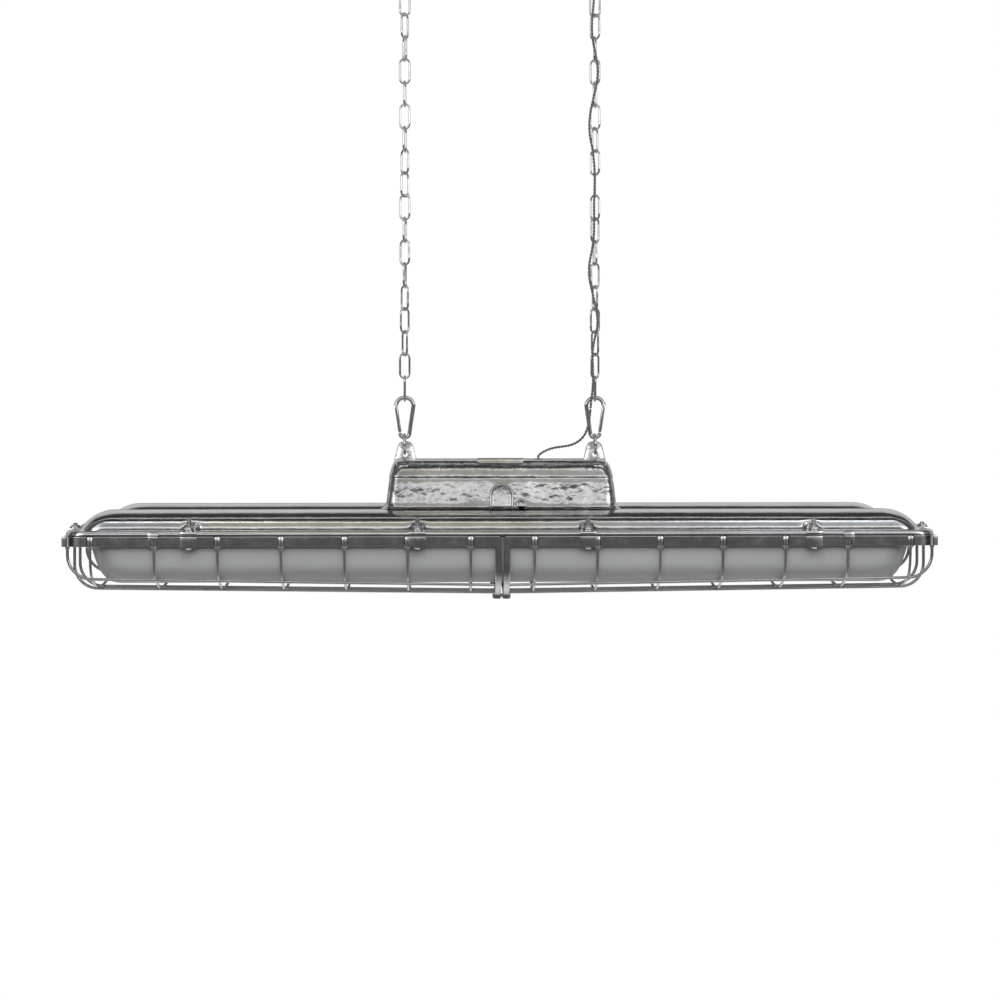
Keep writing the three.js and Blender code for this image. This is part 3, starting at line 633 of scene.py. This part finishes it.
def rim_boss(shape, x, side):
    """A half-round upright boss on the rim's face."""
    rings = []
    width, top = BOSS["width"], BOSS["top"]
    levels = ((-17.2, 0.62), (-16.9, 0.76), (-15.9, 0.9), (-14.6, 0.97), (top - 0.9, 1.03), (top - 0.6, 1.0))
    for z, grow in (*levels, (top, 0.9)):
        ring = []
        for k in range(13):
            angle = k / 12 * math.pi
            out = BOSS["out"] + BOSS["bulge"] * math.sin(angle) * grow
            ring.append(Vector((x + math.cos(angle) * width / 2 * grow, side * out, z)))
        rings.append(ring)
    shape.rings(rings)


def guard(name, half, y):
    shape = Shape()
    rim(shape)
    arch(shape)
    for index, x in enumerate(RING_X):
        ring_wire(shape, x)
        for side in (-1, 1):
            rim_boss(shape, x, side)
            if index == TAB_RING:
                low, high = span(side, 80.8, 84.8)
                shape.box((x - 7.6, low, -7), (x + 7.6, high, 0.4), 1.2)
                shape.box((x - 8.2, low - 0.4, 0.2), (x + 8.2, high + 0.4, 6.8), 1.4, taper=(1.2, 1.2))
    for side in (-1, 1):
        for y_rail, depth, deeper in RAIL_PLACES:
            rail(shape, side * y_rail, depth, deeper)
            shape.box((645, side * y_rail - 5, -16.2), (661, side * y_rail + 5, -0.6), 1.2)
        for x in SIDE_BOLT_X:
            low, high = span(side, 72.5, 85.4)
            shape.box((x - LUG["half"], low, -16.4), (x + LUG["half"], high, -0.1), 1.0)
    shape.box((647.6, -LUG["end_reach"], -16.2), (661.6, LUG["end_reach"], -0.1), 1.6)
    node = f"guard_{name}_{half}"
    return shape.piece(f"cage_{name}_{half}", "guard_metal", "lamp", [node], at=(0, y, 0), turn=TURNS[half])


# ---- Bolts ----
def hexagon(shape, z_low, z_high, radius):
    height = z_high - z_low
    profile = [(0, z_low), (radius * 0.86, z_low), (radius, z_low + 0.14 * height)]
    profile += [(radius * 0.95, z_low + 0.62 * height), (radius * 0.8, z_high - 0.05 * height)]
    shape.lathe(profile + [(radius * 0.66, z_high), (0, z_high)], 6)


def threaded(shape, low, high, radius):
    profile = [(0, low)]
    z = low
    while z < high - 1.2:
        profile += [(radius - 0.4, z), (radius, z + 0.5)]
        z += 1.0
    profile += [(radius - 0.4, high - 0.7), (radius - 1.2, high), (0, high)]
    shape.lathe(profile, 14)


def bolt_shape(stud_top, seat=7.6, nut_height=6.1):
    shape = Shape()
    hexagon(shape, -19.8, -15.9, 7.2)
    shape.lathe([(0, seat), (9.0, seat), (9.4, seat + 0.4), (9.2, seat + 1.4), (0, seat + 1.5)], 28)
    hexagon(shape, seat + 1.5, seat + 1.5 + nut_height, 7.5)
    threaded(shape, seat + nut_height, stud_top, 3.6)
    shape.lathe([(0, -17), (3.6, -17), (3.6, 9), (0, 9)], 12)
    return shape


def inner_bolt(name, x, y):
    """The clamp bolt on a trough's inner edge, which looks like those on its outer edge."""
    bolt_shape(STUD_TOP).piece(name, "bolt_steel", "lamp", at=(x, y, 0))


def arch_bolt(name, y):
    shape = Shape()
    edge = ARCH_INNER + ARCH_WIDTH
    for side in (-1, 1):
        head = ((0, -1), (5.2, 0), (5.2, 1.6), (4.2, 2.7), (2, 3.2), (0, 3.3))
        shape.lathe([(radius, side * (edge + out)) for radius, out in head], 20)
    shape.lathe([(0, -edge), (3, -edge), (3, edge), (0, edge)], 12)
    bmesh.ops.rotate(shape.bm, matrix=Matrix.Rotation(math.pi / 2, 3, "Y"), verts=shape.bm.verts)
    node = f"arch_bolt_{name}"
    return shape.piece(f"{node}_fine", "bolt_steel", "lamp", [node], at=(0, y, ARCH_BOLT_Z))


# ---- Glass ----
def glass(name, y):
    def loops(layers):
        return [[Vector((x, yy, z)) for x, yy in outline(l, w, c, (6, 60), 12)] for l, w, c, z in layers]

    depths = [(626.6, 68.4, 50, -14), (624.4, 67.4, 50, -26), (621, 65.2, 50, -38)]
    steps = 16
    for step in range(1, steps + 1):
        angle = step / steps * math.pi / 2 * 0.99
        fall = math.sin(angle) ** 0.95
        width = 65.2 * math.cos(angle) ** 0.85
        length = 621 - 13 * fall - 22 * (1 - math.sqrt(1 - fall ** 6))
        depths.append((length, width, min(50, width), -38 - 38 * fall))
    lip = [(633, 68.9, 30, -1.9), (644, 71, 24, -1.9), (644.8, 71.3, 24, -3), (644.8, 71.3, 24, -5.4)]
    lip += [(632, 69.0, 48, -5.6)]
    inner = [
        (l - GLASS_WALL, max(w - GLASS_WALL, 0.3), max(c - 3, 0.2), min(z + GLASS_WALL, -2.1))
        for l, w, c, z in reversed(depths)
    ]
    shape = Shape.shell(loops(lip + depths), loops(inner))
    return shape.piece(f"opal_{name}", "opal_glass", "lamp", [f"glass_{name}"], at=(0, y, 0), sharp=60)


# ---- Gear box ----
# The gear box's outline at each height: (half length, half width, corner, z).
GEAR_PROFILE = [
    (176, 96, 12, 36.5), (187, 107.6, 24, 36.6), (184.4, 105, 22, 37.5), (182, 102.6, 20, 39.2),
    (180.4, 101, 18, 41.6), (179.4, 99.8, 17, 45), (178.6, 98.9, 16, 50), (177.8, 97.9, 16, 57),
    (177, 97, 16, 64), (176.2, 96.1, 16, 71), (175.6, 95.4, 16, 76), (175.1, 94.5, 16, 79.4),
    (174.7, 93.5, 16, 81.6), (174.5, 93.0, 16, 83.6), (174.5, 93.1, 16, 86.4), (174.3, 92.8, 17, 88.6),
    (173.8, 91.6, 18, 92), (173, 90.1, 19, 95.2), (172.3, 88.3, 20, 98.2), (171.4, 85.6, 21, 101.2),
    (170.2, 82.2, 21, 104.2), (169, 79.2, 20, 106.4), (167.2, 75.8, 20, 108.4), (164.6, 72, 18, 110),
    (160, 67, 16, 110.9), (150, 56, 14, 111.2),
]
FINEST_LAYER = 2.2


def gear_layers():
    """The profile, with more heights put in between, so that the dents have points to move."""
    layers = [GEAR_PROFILE[0]]
    for low, high in zip(GEAR_PROFILE, GEAR_PROFILE[1:]):
        cuts = max(1, math.ceil((high[3] - low[3]) / FINEST_LAYER))
        for k in range(1, cuts + 1):
            layers.append(tuple(a + (b - a) * k / cuts for a, b in zip(low, high)))
    return layers


def hammering(place):
    """How far the casting's skin stands in or out: broad waves, and dents on the flat faces."""
    broad = noise.noise(place * 0.021) * 1.5 + noise.noise(place * 0.055) * 0.9
    dents = noise.noise(place * 0.12) * 0.46 + noise.noise(place * 0.27) * 0.26
    flat = smoothstep((place.z - 38) / 7) * (1 - smoothstep((place.z - 74) / 7) * 0.9)
    return broad * (0.25 + 0.65 * flat) + dents * flat - 0.6


def gear_casting():
    shape = Shape()
    rings = []
    for half_length, half_width, corner, z in gear_layers():
        ring = []
        for x, y in outline(half_length, half_width, corner, (70, 150), 10):
            place = Vector((x, y, z))
            if 37 < z < 109.6:
                out = Vector((x / half_length ** 2, y / half_width ** 2, 0)).normalized()
                place += out * hammering(place)
            ring.append(place)
        rings.append(ring)
    shape.rings(rings, caps=False)
    count = len(rings[0])
    shape.bm.faces.new(list(shape.bm.verts)[-count:])
    shape.bm.faces.new(list(reversed(list(shape.bm.verts)[:count])))
    for side in (-1, 1):
        arch_pad(shape, side)
    for end in (-1, 1):
        ear(shape, end * EAR_X)
    return shape.piece("gear_casting", "hammered_casting", "lamp", ["gear_box"], sharp=60)


def arch_pad(shape, side):
    """The arched boss, with a raised edge, on the face towards side, and the small one beside it."""
    steps = 16
    foot = BOSS_FOOT

    def arched(centre_x, half, crown, out):
        """An arch-shaped loop of the given half width, at a distance in front of the leaning face."""
        loop = [(centre_x + half, foot), (centre_x + half, (foot + crown - half) / 2)]
        for k in range(steps + 1):
            angle = k / steps * math.pi
            loop.append((centre_x + half * math.cos(angle), crown - half + half * math.sin(angle)))
        loop += [(centre_x - half, (foot + crown - half) / 2), (centre_x - half, foot)]
        return [Vector((x, side * (101.2 - 0.16 * (z - foot) + out), z)) for x, z in loop]

    for centre_x, half, crown, lift in ARCHED_BOSSES:
        levels = ((0.8, -8), (0.5, lift - 3.2), (0, lift - 1.3), (-0.8, lift - 0.3), (-1.7, lift),
                  (-2.6, lift - 0.3), (-3.3, lift - 1.2), (-3.7, lift - 2.2), (-4.9, lift - 2.5))
        shape.rings([arched(centre_x, half + grow, crown + grow, out) for grow, out in levels])


def ear(shape, x):
    """A suspension ear: a tapered plate with a round top and a hole, on a rib over the box's top."""
    ribs = [(-y, z, half) for y, z, half in reversed(EAR_RIB)] + EAR_RIB
    section = ((-1.15, 9), (-1.05, 2.4), (-0.82, 0.5), (0, 0), (0.82, 0.5), (1.05, 2.4), (1.15, 9))
    shape.rings([[Vector((x + px * half, y, z - pz)) for px, pz in section] for y, z, half in ribs])
    loop = EAR_OUTLINE + EAR_OUTLINE[:1]
    sides = 40
    outer, hole = [], []
    for k in range(sides):
        angle = 2 * math.pi * k / sides
        d = Vector((math.cos(angle), math.sin(angle)))
        best = 60.0
        for a, b in zip(loop, loop[1:]):
            p = Vector(a) - Vector((0, EAR_HOLE_Z))
            e = Vector(b) - Vector(a)
            cross = d.x * e.y - d.y * e.x
            if abs(cross) < 1e-9:
                continue
            t = (p.x * e.y - p.y * e.x) / cross
            u = (p.x * d.y - p.y * d.x) / cross
            if t > 0 and -1e-6 <= u <= 1 + 1e-6:
                best = min(best, t)
        outer.append((d.x * best, EAR_HOLE_Z + d.y * best))
        hole.append((d.x * 3.9, EAR_HOLE_Z + 1.2 + d.y * 3.9))

    def ring(points, side, inset, grow=1.0):
        """A loop on one face. The faces lean in towards the top."""
        loop = []
        for px, pz in points:
            z = EAR_HOLE_Z + (pz - EAR_HOLE_Z) * grow
            thickness = 5.4 - 0.085 * (z - 108) - inset
            loop.append(Vector((x + px * grow, side * thickness, z)))
        return loop

    rings = [ring(hole, 1, 1.0), ring(hole, 1, 0, 1.12), ring(outer, 1, 0, 0.95), ring(outer, 1, 1.0),
             ring(outer, -1, 1.0), ring(outer, -1, 0, 0.95), ring(hole, -1, 0, 1.12), ring(hole, -1, 1.0)]
    shape.rings(rings, closed=True)


def blank_plate():
    """A thin cover with turned-down edges, over the front edge of the gear box's top."""
    line = smooth_line([Vector((0, y, z)) for y, z in BLANK_FOLD], 4)
    rings = []
    for i, place in enumerate(line):
        along = (line[min(i + 1, len(line) - 1)] - line[max(i - 1, 0)]).normalized()
        out = along.cross(Vector((1, 0, 0)))
        trim = BLANK["rounding"] * (1 - smoothstep((len(line) - 1 - i) / 3))
        trim += BLANK["rounding"] * (1 - smoothstep(i / 3))
        low, high = BLANK["low"] + trim, BLANK["high"] - trim
        section = [(low, -0.8), (high, -0.8), (high, 0.4), (high - 0.7, 0.9), (low + 0.7, 0.9), (low, 0.4)]
        rings.append([place + Vector((x, 0, 0)) - out * t for x, t in section])
    shape = Shape()
    shape.rings(rings)
    return shape.piece("blank_cover", "cast_aluminium", "lamp", ["blank_plate"])


# ---- Suspension ----
def link_path(low, wire):
    """The wire's centre line of one link that stands in the XZ plane."""
    half = LINK["half_width"]
    length = LINK["pitch"] + 2 * wire
    path = []
    for end, centre in ((1, low + length - half), (-1, low + half)):
        for step in range(13):
            angle = step / 12 * math.pi + (0 if end > 0 else math.pi)
            path.append(Vector((half * math.cos(angle), 0, centre + half * math.sin(angle))))
    return path


def link_radius(share):
    """A welded link is a little thicker at the weld, halfway down one side."""
    weld = math.exp(-(((share - 0.5) / 0.02) ** 2))
    return LINK["wire"] * (1 + 0.16 * weld)


def add_link(shape, low, degrees, squeeze=0.0):
    path = link_path(low, LINK["wire"] - squeeze)
    dense = []
    for a, b in zip(path, path[1:] + path[:1]):
        dense.append(a)
        if (b - a).length > 8:
            dense += [a.lerp(b, k / 6) for k in range(1, 6)]
    turn = Matrix.Rotation(math.radians(degrees), 3, "Z")
    shape.tube([turn @ p for p in dense], link_radius, 10, closed=True)


def chain(side):
    for index, degrees in enumerate(LEFT_TURNS if side == "left" else RIGHT_TURNS):
        shape = Shape()
        add_link(shape, CHAIN_LOW + index * LINK["pitch"], degrees)
        nodes = [f"chain_{side}"] if index == 0 else []
        name = f"link_{side}_{index + 1:02d}"
        shape.piece(name, "plated_steel", f"chain_{side}", nodes, at=(HANGERS[side], 0, 0), sharp=60)
    shape = Shape()
    add_link(shape, TOP_LINK_LOW, 90, squeeze=0.5)
    node = f"top_link_{side}"
    shape.piece(f"{node}_fine", "plated_steel", "top_links", [node], at=(HANGERS[side], 0, 0), sharp=60)


def carabiner_line():
    """Centre line of the pear-shaped hook's frame in XZ, round from the latch to the gate's hinge."""
    wide, narrow = CARABINER["wide"], CARABINER["narrow"]
    top, low = CARABINER["top"] - wide, CARABINER["low"] + narrow
    line = []
    for step in range(25):
        angle = math.radians(8 + 163.8 * step / 24)
        line.append(Vector((wide * math.cos(angle), 0, top + wide * math.sin(angle))))
    for step in range(21):
        angle = math.radians(188 + 164 * step / 20)
        line.append(Vector((narrow * math.cos(angle), 0, low + narrow * math.sin(angle))))
    return line


def carabiner(side):
    line = carabiner_line()
    shape = Shape()
    wire = CARABINER["wire"]
    shape.tube(line, wire, 16)
    turn = TURNS[side]
    at = (HANGERS[side], 0, 0)
    nose = line[0] + (line[0] - line[1]).normalized() * 0.2
    shape.tube([line[2], line[1], nose], lambda share: wire + 0.5 * share, 16)
    shape.tube(line[-3:], lambda share: wire + 0.6 * share, 16)
    for direction in (-1, 1):
        turn_pin = Matrix.Rotation(-direction * math.pi / 2, 3, "X")
        pin = [(0, 0), (1.9, 0), (1.7, 1.4), (1.0, 1.9), (0, 2.0)]
        shape.lathe(pin, 14, line[-1] + Vector((0.2, direction * 2.6, 0.4)), turn_pin)
    hinge, latch = line[-1], line[0]
    along = (latch - hinge).normalized()
    # The latch pin and the hinge tongue, which reach into the gate's ends.
    shape.tube([latch + along * 0.6, latch - along * 0.8, latch - along * 2.6], 1.5, 12)
    shape.tube([hinge - along * 0.6, hinge + along * 0.8, hinge + along * 1.6], 1.5, 12)
    node = f"carabiner_{side}"
    shape.piece(f"snap_{side}", "plated_steel", node, [node], at=at, turn=turn, sharp=60)
    gate = Shape()
    start, stop = hinge + along * GATE["hinge_gap"], latch - along * GATE["latch_gap"]
    reach = (stop - start).length
    path = [start + along * (reach * t) for t in (0, 0.02, 0.05, 0.3, 0.6, 0.95, 0.98, 1)]
    full = GATE["wire"]
    size = [full - 0.5, full - 0.1, full, full, full, full, full - 0.1, full - 0.5]
    gate.tube(path, lambda share: size[round(share * 7)], 16)
    node = f"gate_{side}"
    gate.piece(f"snap_gate_{side}", "plated_steel", node, [node], at=at, turn=turn, sharp=60)


def ring(side):
    """A split ring: just under two turns of wire, side by side."""
    shape = Shape()
    steps = 96
    radius = RING["radius"]
    path = []
    for step in range(steps + 1):
        share = step / steps
        angle = share * RING["turns"] * 2 * math.pi + 0.6
        x = (share - 0.5) * 2 * 1.15 * math.tanh(6 * abs(share - 0.5))
        path.append(Vector((x, radius * math.cos(angle), RING["low"] + radius + radius * math.sin(angle))))
    shape.tube(path, RING["wire"], 10)
    at = (HANGERS[side], 0, 0)
    return shape.piece(f"split_{side}", "plated_steel", "lamp", [f"ring_{side}"], at=at, sharp=60)


def ceiling_fixing(side, node, plate, depth):
    shape = Shape()
    shape.lathe([(0, -depth), (plate - 7, -depth), (plate - 4.4, -depth + 0.8), (plate - 2.6, -depth + 3),
                 (plate - 0.8, -3), (plate, -1.6), (plate, -0.1), (0, -0.1)], 48)
    radius = HOOK["radius"]
    centre = -HOOK["drop"] + radius
    path = [Vector((0, 0, z)) for z in (-depth + 1, centre + radius + 8)]
    path += [Vector((0.4, 0, centre + radius + 3))]
    for step in range(24):
        angle = math.radians(72 - step * 251 / 23)
        path.append(Vector((radius * math.cos(angle), 0, centre + radius * math.sin(angle))))
    shape.tube(path, HOOK["wire"], 14)
    shape.lathe([(0, -depth - 3.4), (5, -depth - 3.4), (6, -depth - 2.4), (6, -depth), (0, -depth)], 6)
    at = (HANGERS[side], 0, 0)
    return shape.piece(f"{node}_fine", "plated_steel", "ceiling", [node], at=at, ceiling=True)


# ---- What stays as CAD, with a proper finish ----
def finish_cad_nodes():
    slots = {entry["node"]: entry["material_slot"] for entry in frame["record"]["subparts"]}
    for name, made in frame["nodes"].items():
        if made.hide_render:
            continue
        made.data.materials.clear()
        made.data.materials.append(MATERIALS[slots[name]])


# ---- Stage, light and camera ----
def emitter(name, build):
    material = bpy.data.materials.new(name)
    material.use_nodes = True
    tree = material.node_tree
    tree.nodes.clear()
    output = tree.nodes.new("ShaderNodeOutputMaterial")
    emission = tree.nodes.new("ShaderNodeEmission")
    tree.links.new(emission.outputs[0], output.inputs["Surface"])
    build(tree, emission)
    return material


# The studio's brightness by height, in degrees: from the front horizon up over the top to the back
# horizon (0 to 180), and the same way down under the floor (0 to -180).
STUDIO = [
    (-180, 0.12), (-160, 0.45), (-130, 0.80), (-95, 0.70), (-70, 0.40), (-45, 0.16), (-18, 0.10), (-3, 0.10),
    (5, 0.10), (8, 0.16), (12, 1.15), (18, 1.0), (26, 0.36), (33, 0.44), (52, 0.40), (61, 0.50), (64, 2.0),
    (67, 0.45), (75, 0.06), (95, 0.035), (101, 0.70), (107, 0.70), (112, 0.04), (142, 0.05), (151, 0.58),
    (170, 0.62), (178, 0.16), (180, 0.12),
]
# What the bright zone over the front horizon is multiplied by, sideways from straight ahead, degrees.
STUDIO_SIDES = [(0, 1.0), (22, 1.0), (27, 2.0), (46, 2.6), (56, 0.22), (128, 0.25), (150, 1.0), (180, 1.0)]
# Its tint from left to right, by the x of a unit direction, and how strongly each height takes it.
STUDIO_TINT = [
    (-0.45, (0.95, 0.97, 1.0)), (-0.38, (0.44, 0.47, 0.54)), (-0.27, (0.60, 0.64, 0.72)),
    (-0.21, (1.02, 0.97, 0.84)), (0.05, (1.04, 0.98, 0.84)), (0.10, (0.95, 0.97, 1.0)),
    (0.30, (0.80, 0.83, 0.88)),
]
STUDIO_TINT_ZONE = [(0, 0.0), (20, 0.0), (26, 1.0), (74, 1.0), (84, 0.0), (180, 0.0)]
# How strongly each height takes the sideways change.
STUDIO_ZONE = [(-180, 0.0), (-40, 0.0), (-25, 1.0), (74, 1.0), (84, 0.0), (180, 0.0)]


def studio_shell():
    """A shell that only reflections and soft light see, in bands that run along the lamp."""
    def build(tree, emission):
        def math_node(operation, *values):
            node = tree.nodes.new("ShaderNodeMath")
            node.operation = operation
            for socket, value in zip(node.inputs, values):
                if isinstance(value, (int, float)):
                    socket.default_value = value
                else:
                    tree.links.new(value, socket)
            return node.outputs[0]

        def ramp(value, stops, low, high):
            placed = [((place - low) / (high - low), colour) for place, colour in stops]
            return colour_ramp(tree, map_range(tree, value, (low, high, 0, 1)), placed)

        def mix(kind, share, a, b):
            node = tree.nodes.new("ShaderNodeMix")
            node.data_type = "RGBA"
            node.blend_type = kind
            for name, value in (("Factor", share), ("A", a), ("B", b)):
                wanted = "VALUE" if name == "Factor" else "RGBA"
                tree.links.new(value, [i for i in node.inputs if i.name == name and i.type == wanted][0])
            return [o for o in node.outputs if o.type == "RGBA"][0]

        coords = tree.nodes.new("ShaderNodeTexCoord")
        unit = tree.nodes.new("ShaderNodeVectorMath")
        unit.operation = "NORMALIZE"
        tree.links.new(coords.outputs["Object"], unit.inputs[0])
        parts = tree.nodes.new("ShaderNodeSeparateXYZ")
        tree.links.new(unit.outputs[0], parts.inputs[0])
        x, y, z = parts.outputs
        rise = math_node("DEGREES", math_node("ARCSINE", z))
        back = map_range(tree, y, (-0.25, 0.45, 0, 1), smooth=True)
        over = math_node("MULTIPLY", math_node("SIGN", z), 180)
        over = math_node("SUBTRACT", over, math_node("MULTIPLY", rise, 2))
        height = math_node("ADD", rise, math_node("MULTIPLY", over, back))
        sideways = math_node("ARCTAN2", math_node("ABSOLUTE", x), math_node("MULTIPLY", y, -1))
        sides = ramp(math_node("DEGREES", sideways), STUDIO_SIDES, 0, 180)
        lit = mix("MULTIPLY", ramp(height, STUDIO_ZONE, -180, 180), ramp(height, STUDIO, -180, 180), sides)
        tint_zone = ramp(height, STUDIO_TINT_ZONE, 0, 180)
        tinted = mix("MULTIPLY", tint_zone, lit, ramp(x, STUDIO_TINT, -0.5, 0.5))
        tree.links.new(tinted, emission.inputs["Color"])

    bpy.ops.mesh.primitive_uv_sphere_add(segments=128, ring_count=64, radius=7, location=(0, 0, DATUM))
    shell = bpy.context.object
    shell.name = "studio_shell"
    shell.data.materials.append(emitter("studio_light", build))
    shell.visible_camera = False
    shell.visible_shadow = False


def soft_box(name, place, target, size, power):
    """A large soft lamp that reflections don't show."""
    data = bpy.data.lights.new(name, "AREA")
    data.shape = "RECTANGLE"
    data.size, data.size_y = size
    data.energy = power
    made = bpy.data.objects.new(name, data)
    bpy.context.scene.collection.objects.link(made)
    made.location = place
    made.rotation_euler = (Vector(target) - Vector(place)).to_track_quat("-Z", "Y").to_euler()
    made.visible_glossy = False


def floor():
    bpy.ops.mesh.primitive_circle_add(vertices=96, radius=5, fill_type="NGON", location=(0, 0, -2.4))
    made = bpy.context.object
    made.name = "floor"

    def build(tree, emission):
        emission.inputs["Color"].default_value = (1, 1, 1, 1)

    made.data.materials.append(emitter("pale_floor", build))
    made.visible_glossy = False
    made.visible_diffuse = False


def world():
    scene_world = bpy.data.worlds.new("world")
    bpy.context.scene.world = scene_world
    scene_world.use_nodes = True
    scene_world.node_tree.nodes["Background"].inputs["Color"].default_value = (1, 1, 1, 1)
    scene_world.node_tree.nodes["Background"].inputs["Strength"].default_value = 1.0


def camera():
    distance, across, height = 2.5732, -0.0629, 0.1725
    data = bpy.data.cameras.new("camera")
    data.sensor_width = 36
    data.lens = 57.6
    data.shift_y = -0.079
    made = bpy.data.objects.new("camera", data)
    bpy.context.scene.collection.objects.link(made)
    made.location = (across, -distance, DATUM + height)
    made.rotation_euler = (math.pi / 2, 0, math.atan2(across, distance))
    bpy.context.scene.camera = made
    data.clip_end = 100


bpy.context.scene.view_settings.view_transform = "Standard"
world()
camera()
cords = flexes()
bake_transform(cords["flex_lower"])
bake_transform(cords["flex_chain"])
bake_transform(cords["flex_top"])
for trough, trough_y in TROUGHS.items():
    housing(trough, trough_y)
    glass(trough, trough_y)
    arch_bolt(trough, trough_y)
    for half_name in TURNS:
        guard(trough, half_name, trough_y)
        sign = 1 if half_name == "right" else -1
        end = f"end_bolt_{trough}_{half_name}"
        end_bolt = bolt_shape(15.8, seat=8.0, nut_height=3.4)
        end_bolt.piece(f"{end}_fine", "bolt_steel", "lamp", [end], at=(sign * END_BOLT_X, trough_y, 0))
        for number, bolt_x in enumerate(SIDE_BOLT_X, 1):
            node = f"clamp_bolt_{trough}_{half_name}_{number}"
            outer_y = trough_y + math.copysign(SIDE_BOLT_Y, trough_y)
            outer_bolt = bolt_shape(STUD_TOP)
            outer_bolt.piece(f"{node}_fine", "bolt_steel", "lamp", [node], at=(sign * bolt_x, outer_y, 0))
            inner_y = trough_y - math.copysign(SIDE_BOLT_Y, trough_y)
            inner_bolt(f"inner_bolt_{trough}_{half_name}_{number}", sign * bolt_x, inner_y)
gear_casting()
blank_plate()
for hanger in HANGERS:
    chain(hanger)
    carabiner(hanger)
    ring(hanger)
ceiling_fixing("left", "ceiling_hook_left", 26, 8)
ceiling_fixing("right", "ceiling_rose_right", 38, 20)
finish_cad_nodes()
studio_shell()
soft_box("front_light", (0, -2.2, DATUM + 1.4), (0, 0, DATUM), (1.5, 1.6), 46)
soft_box("back_light", (0, 2.2, DATUM + 1.4), (0, 0, DATUM), (1.5, 1.6), 46)
floor()
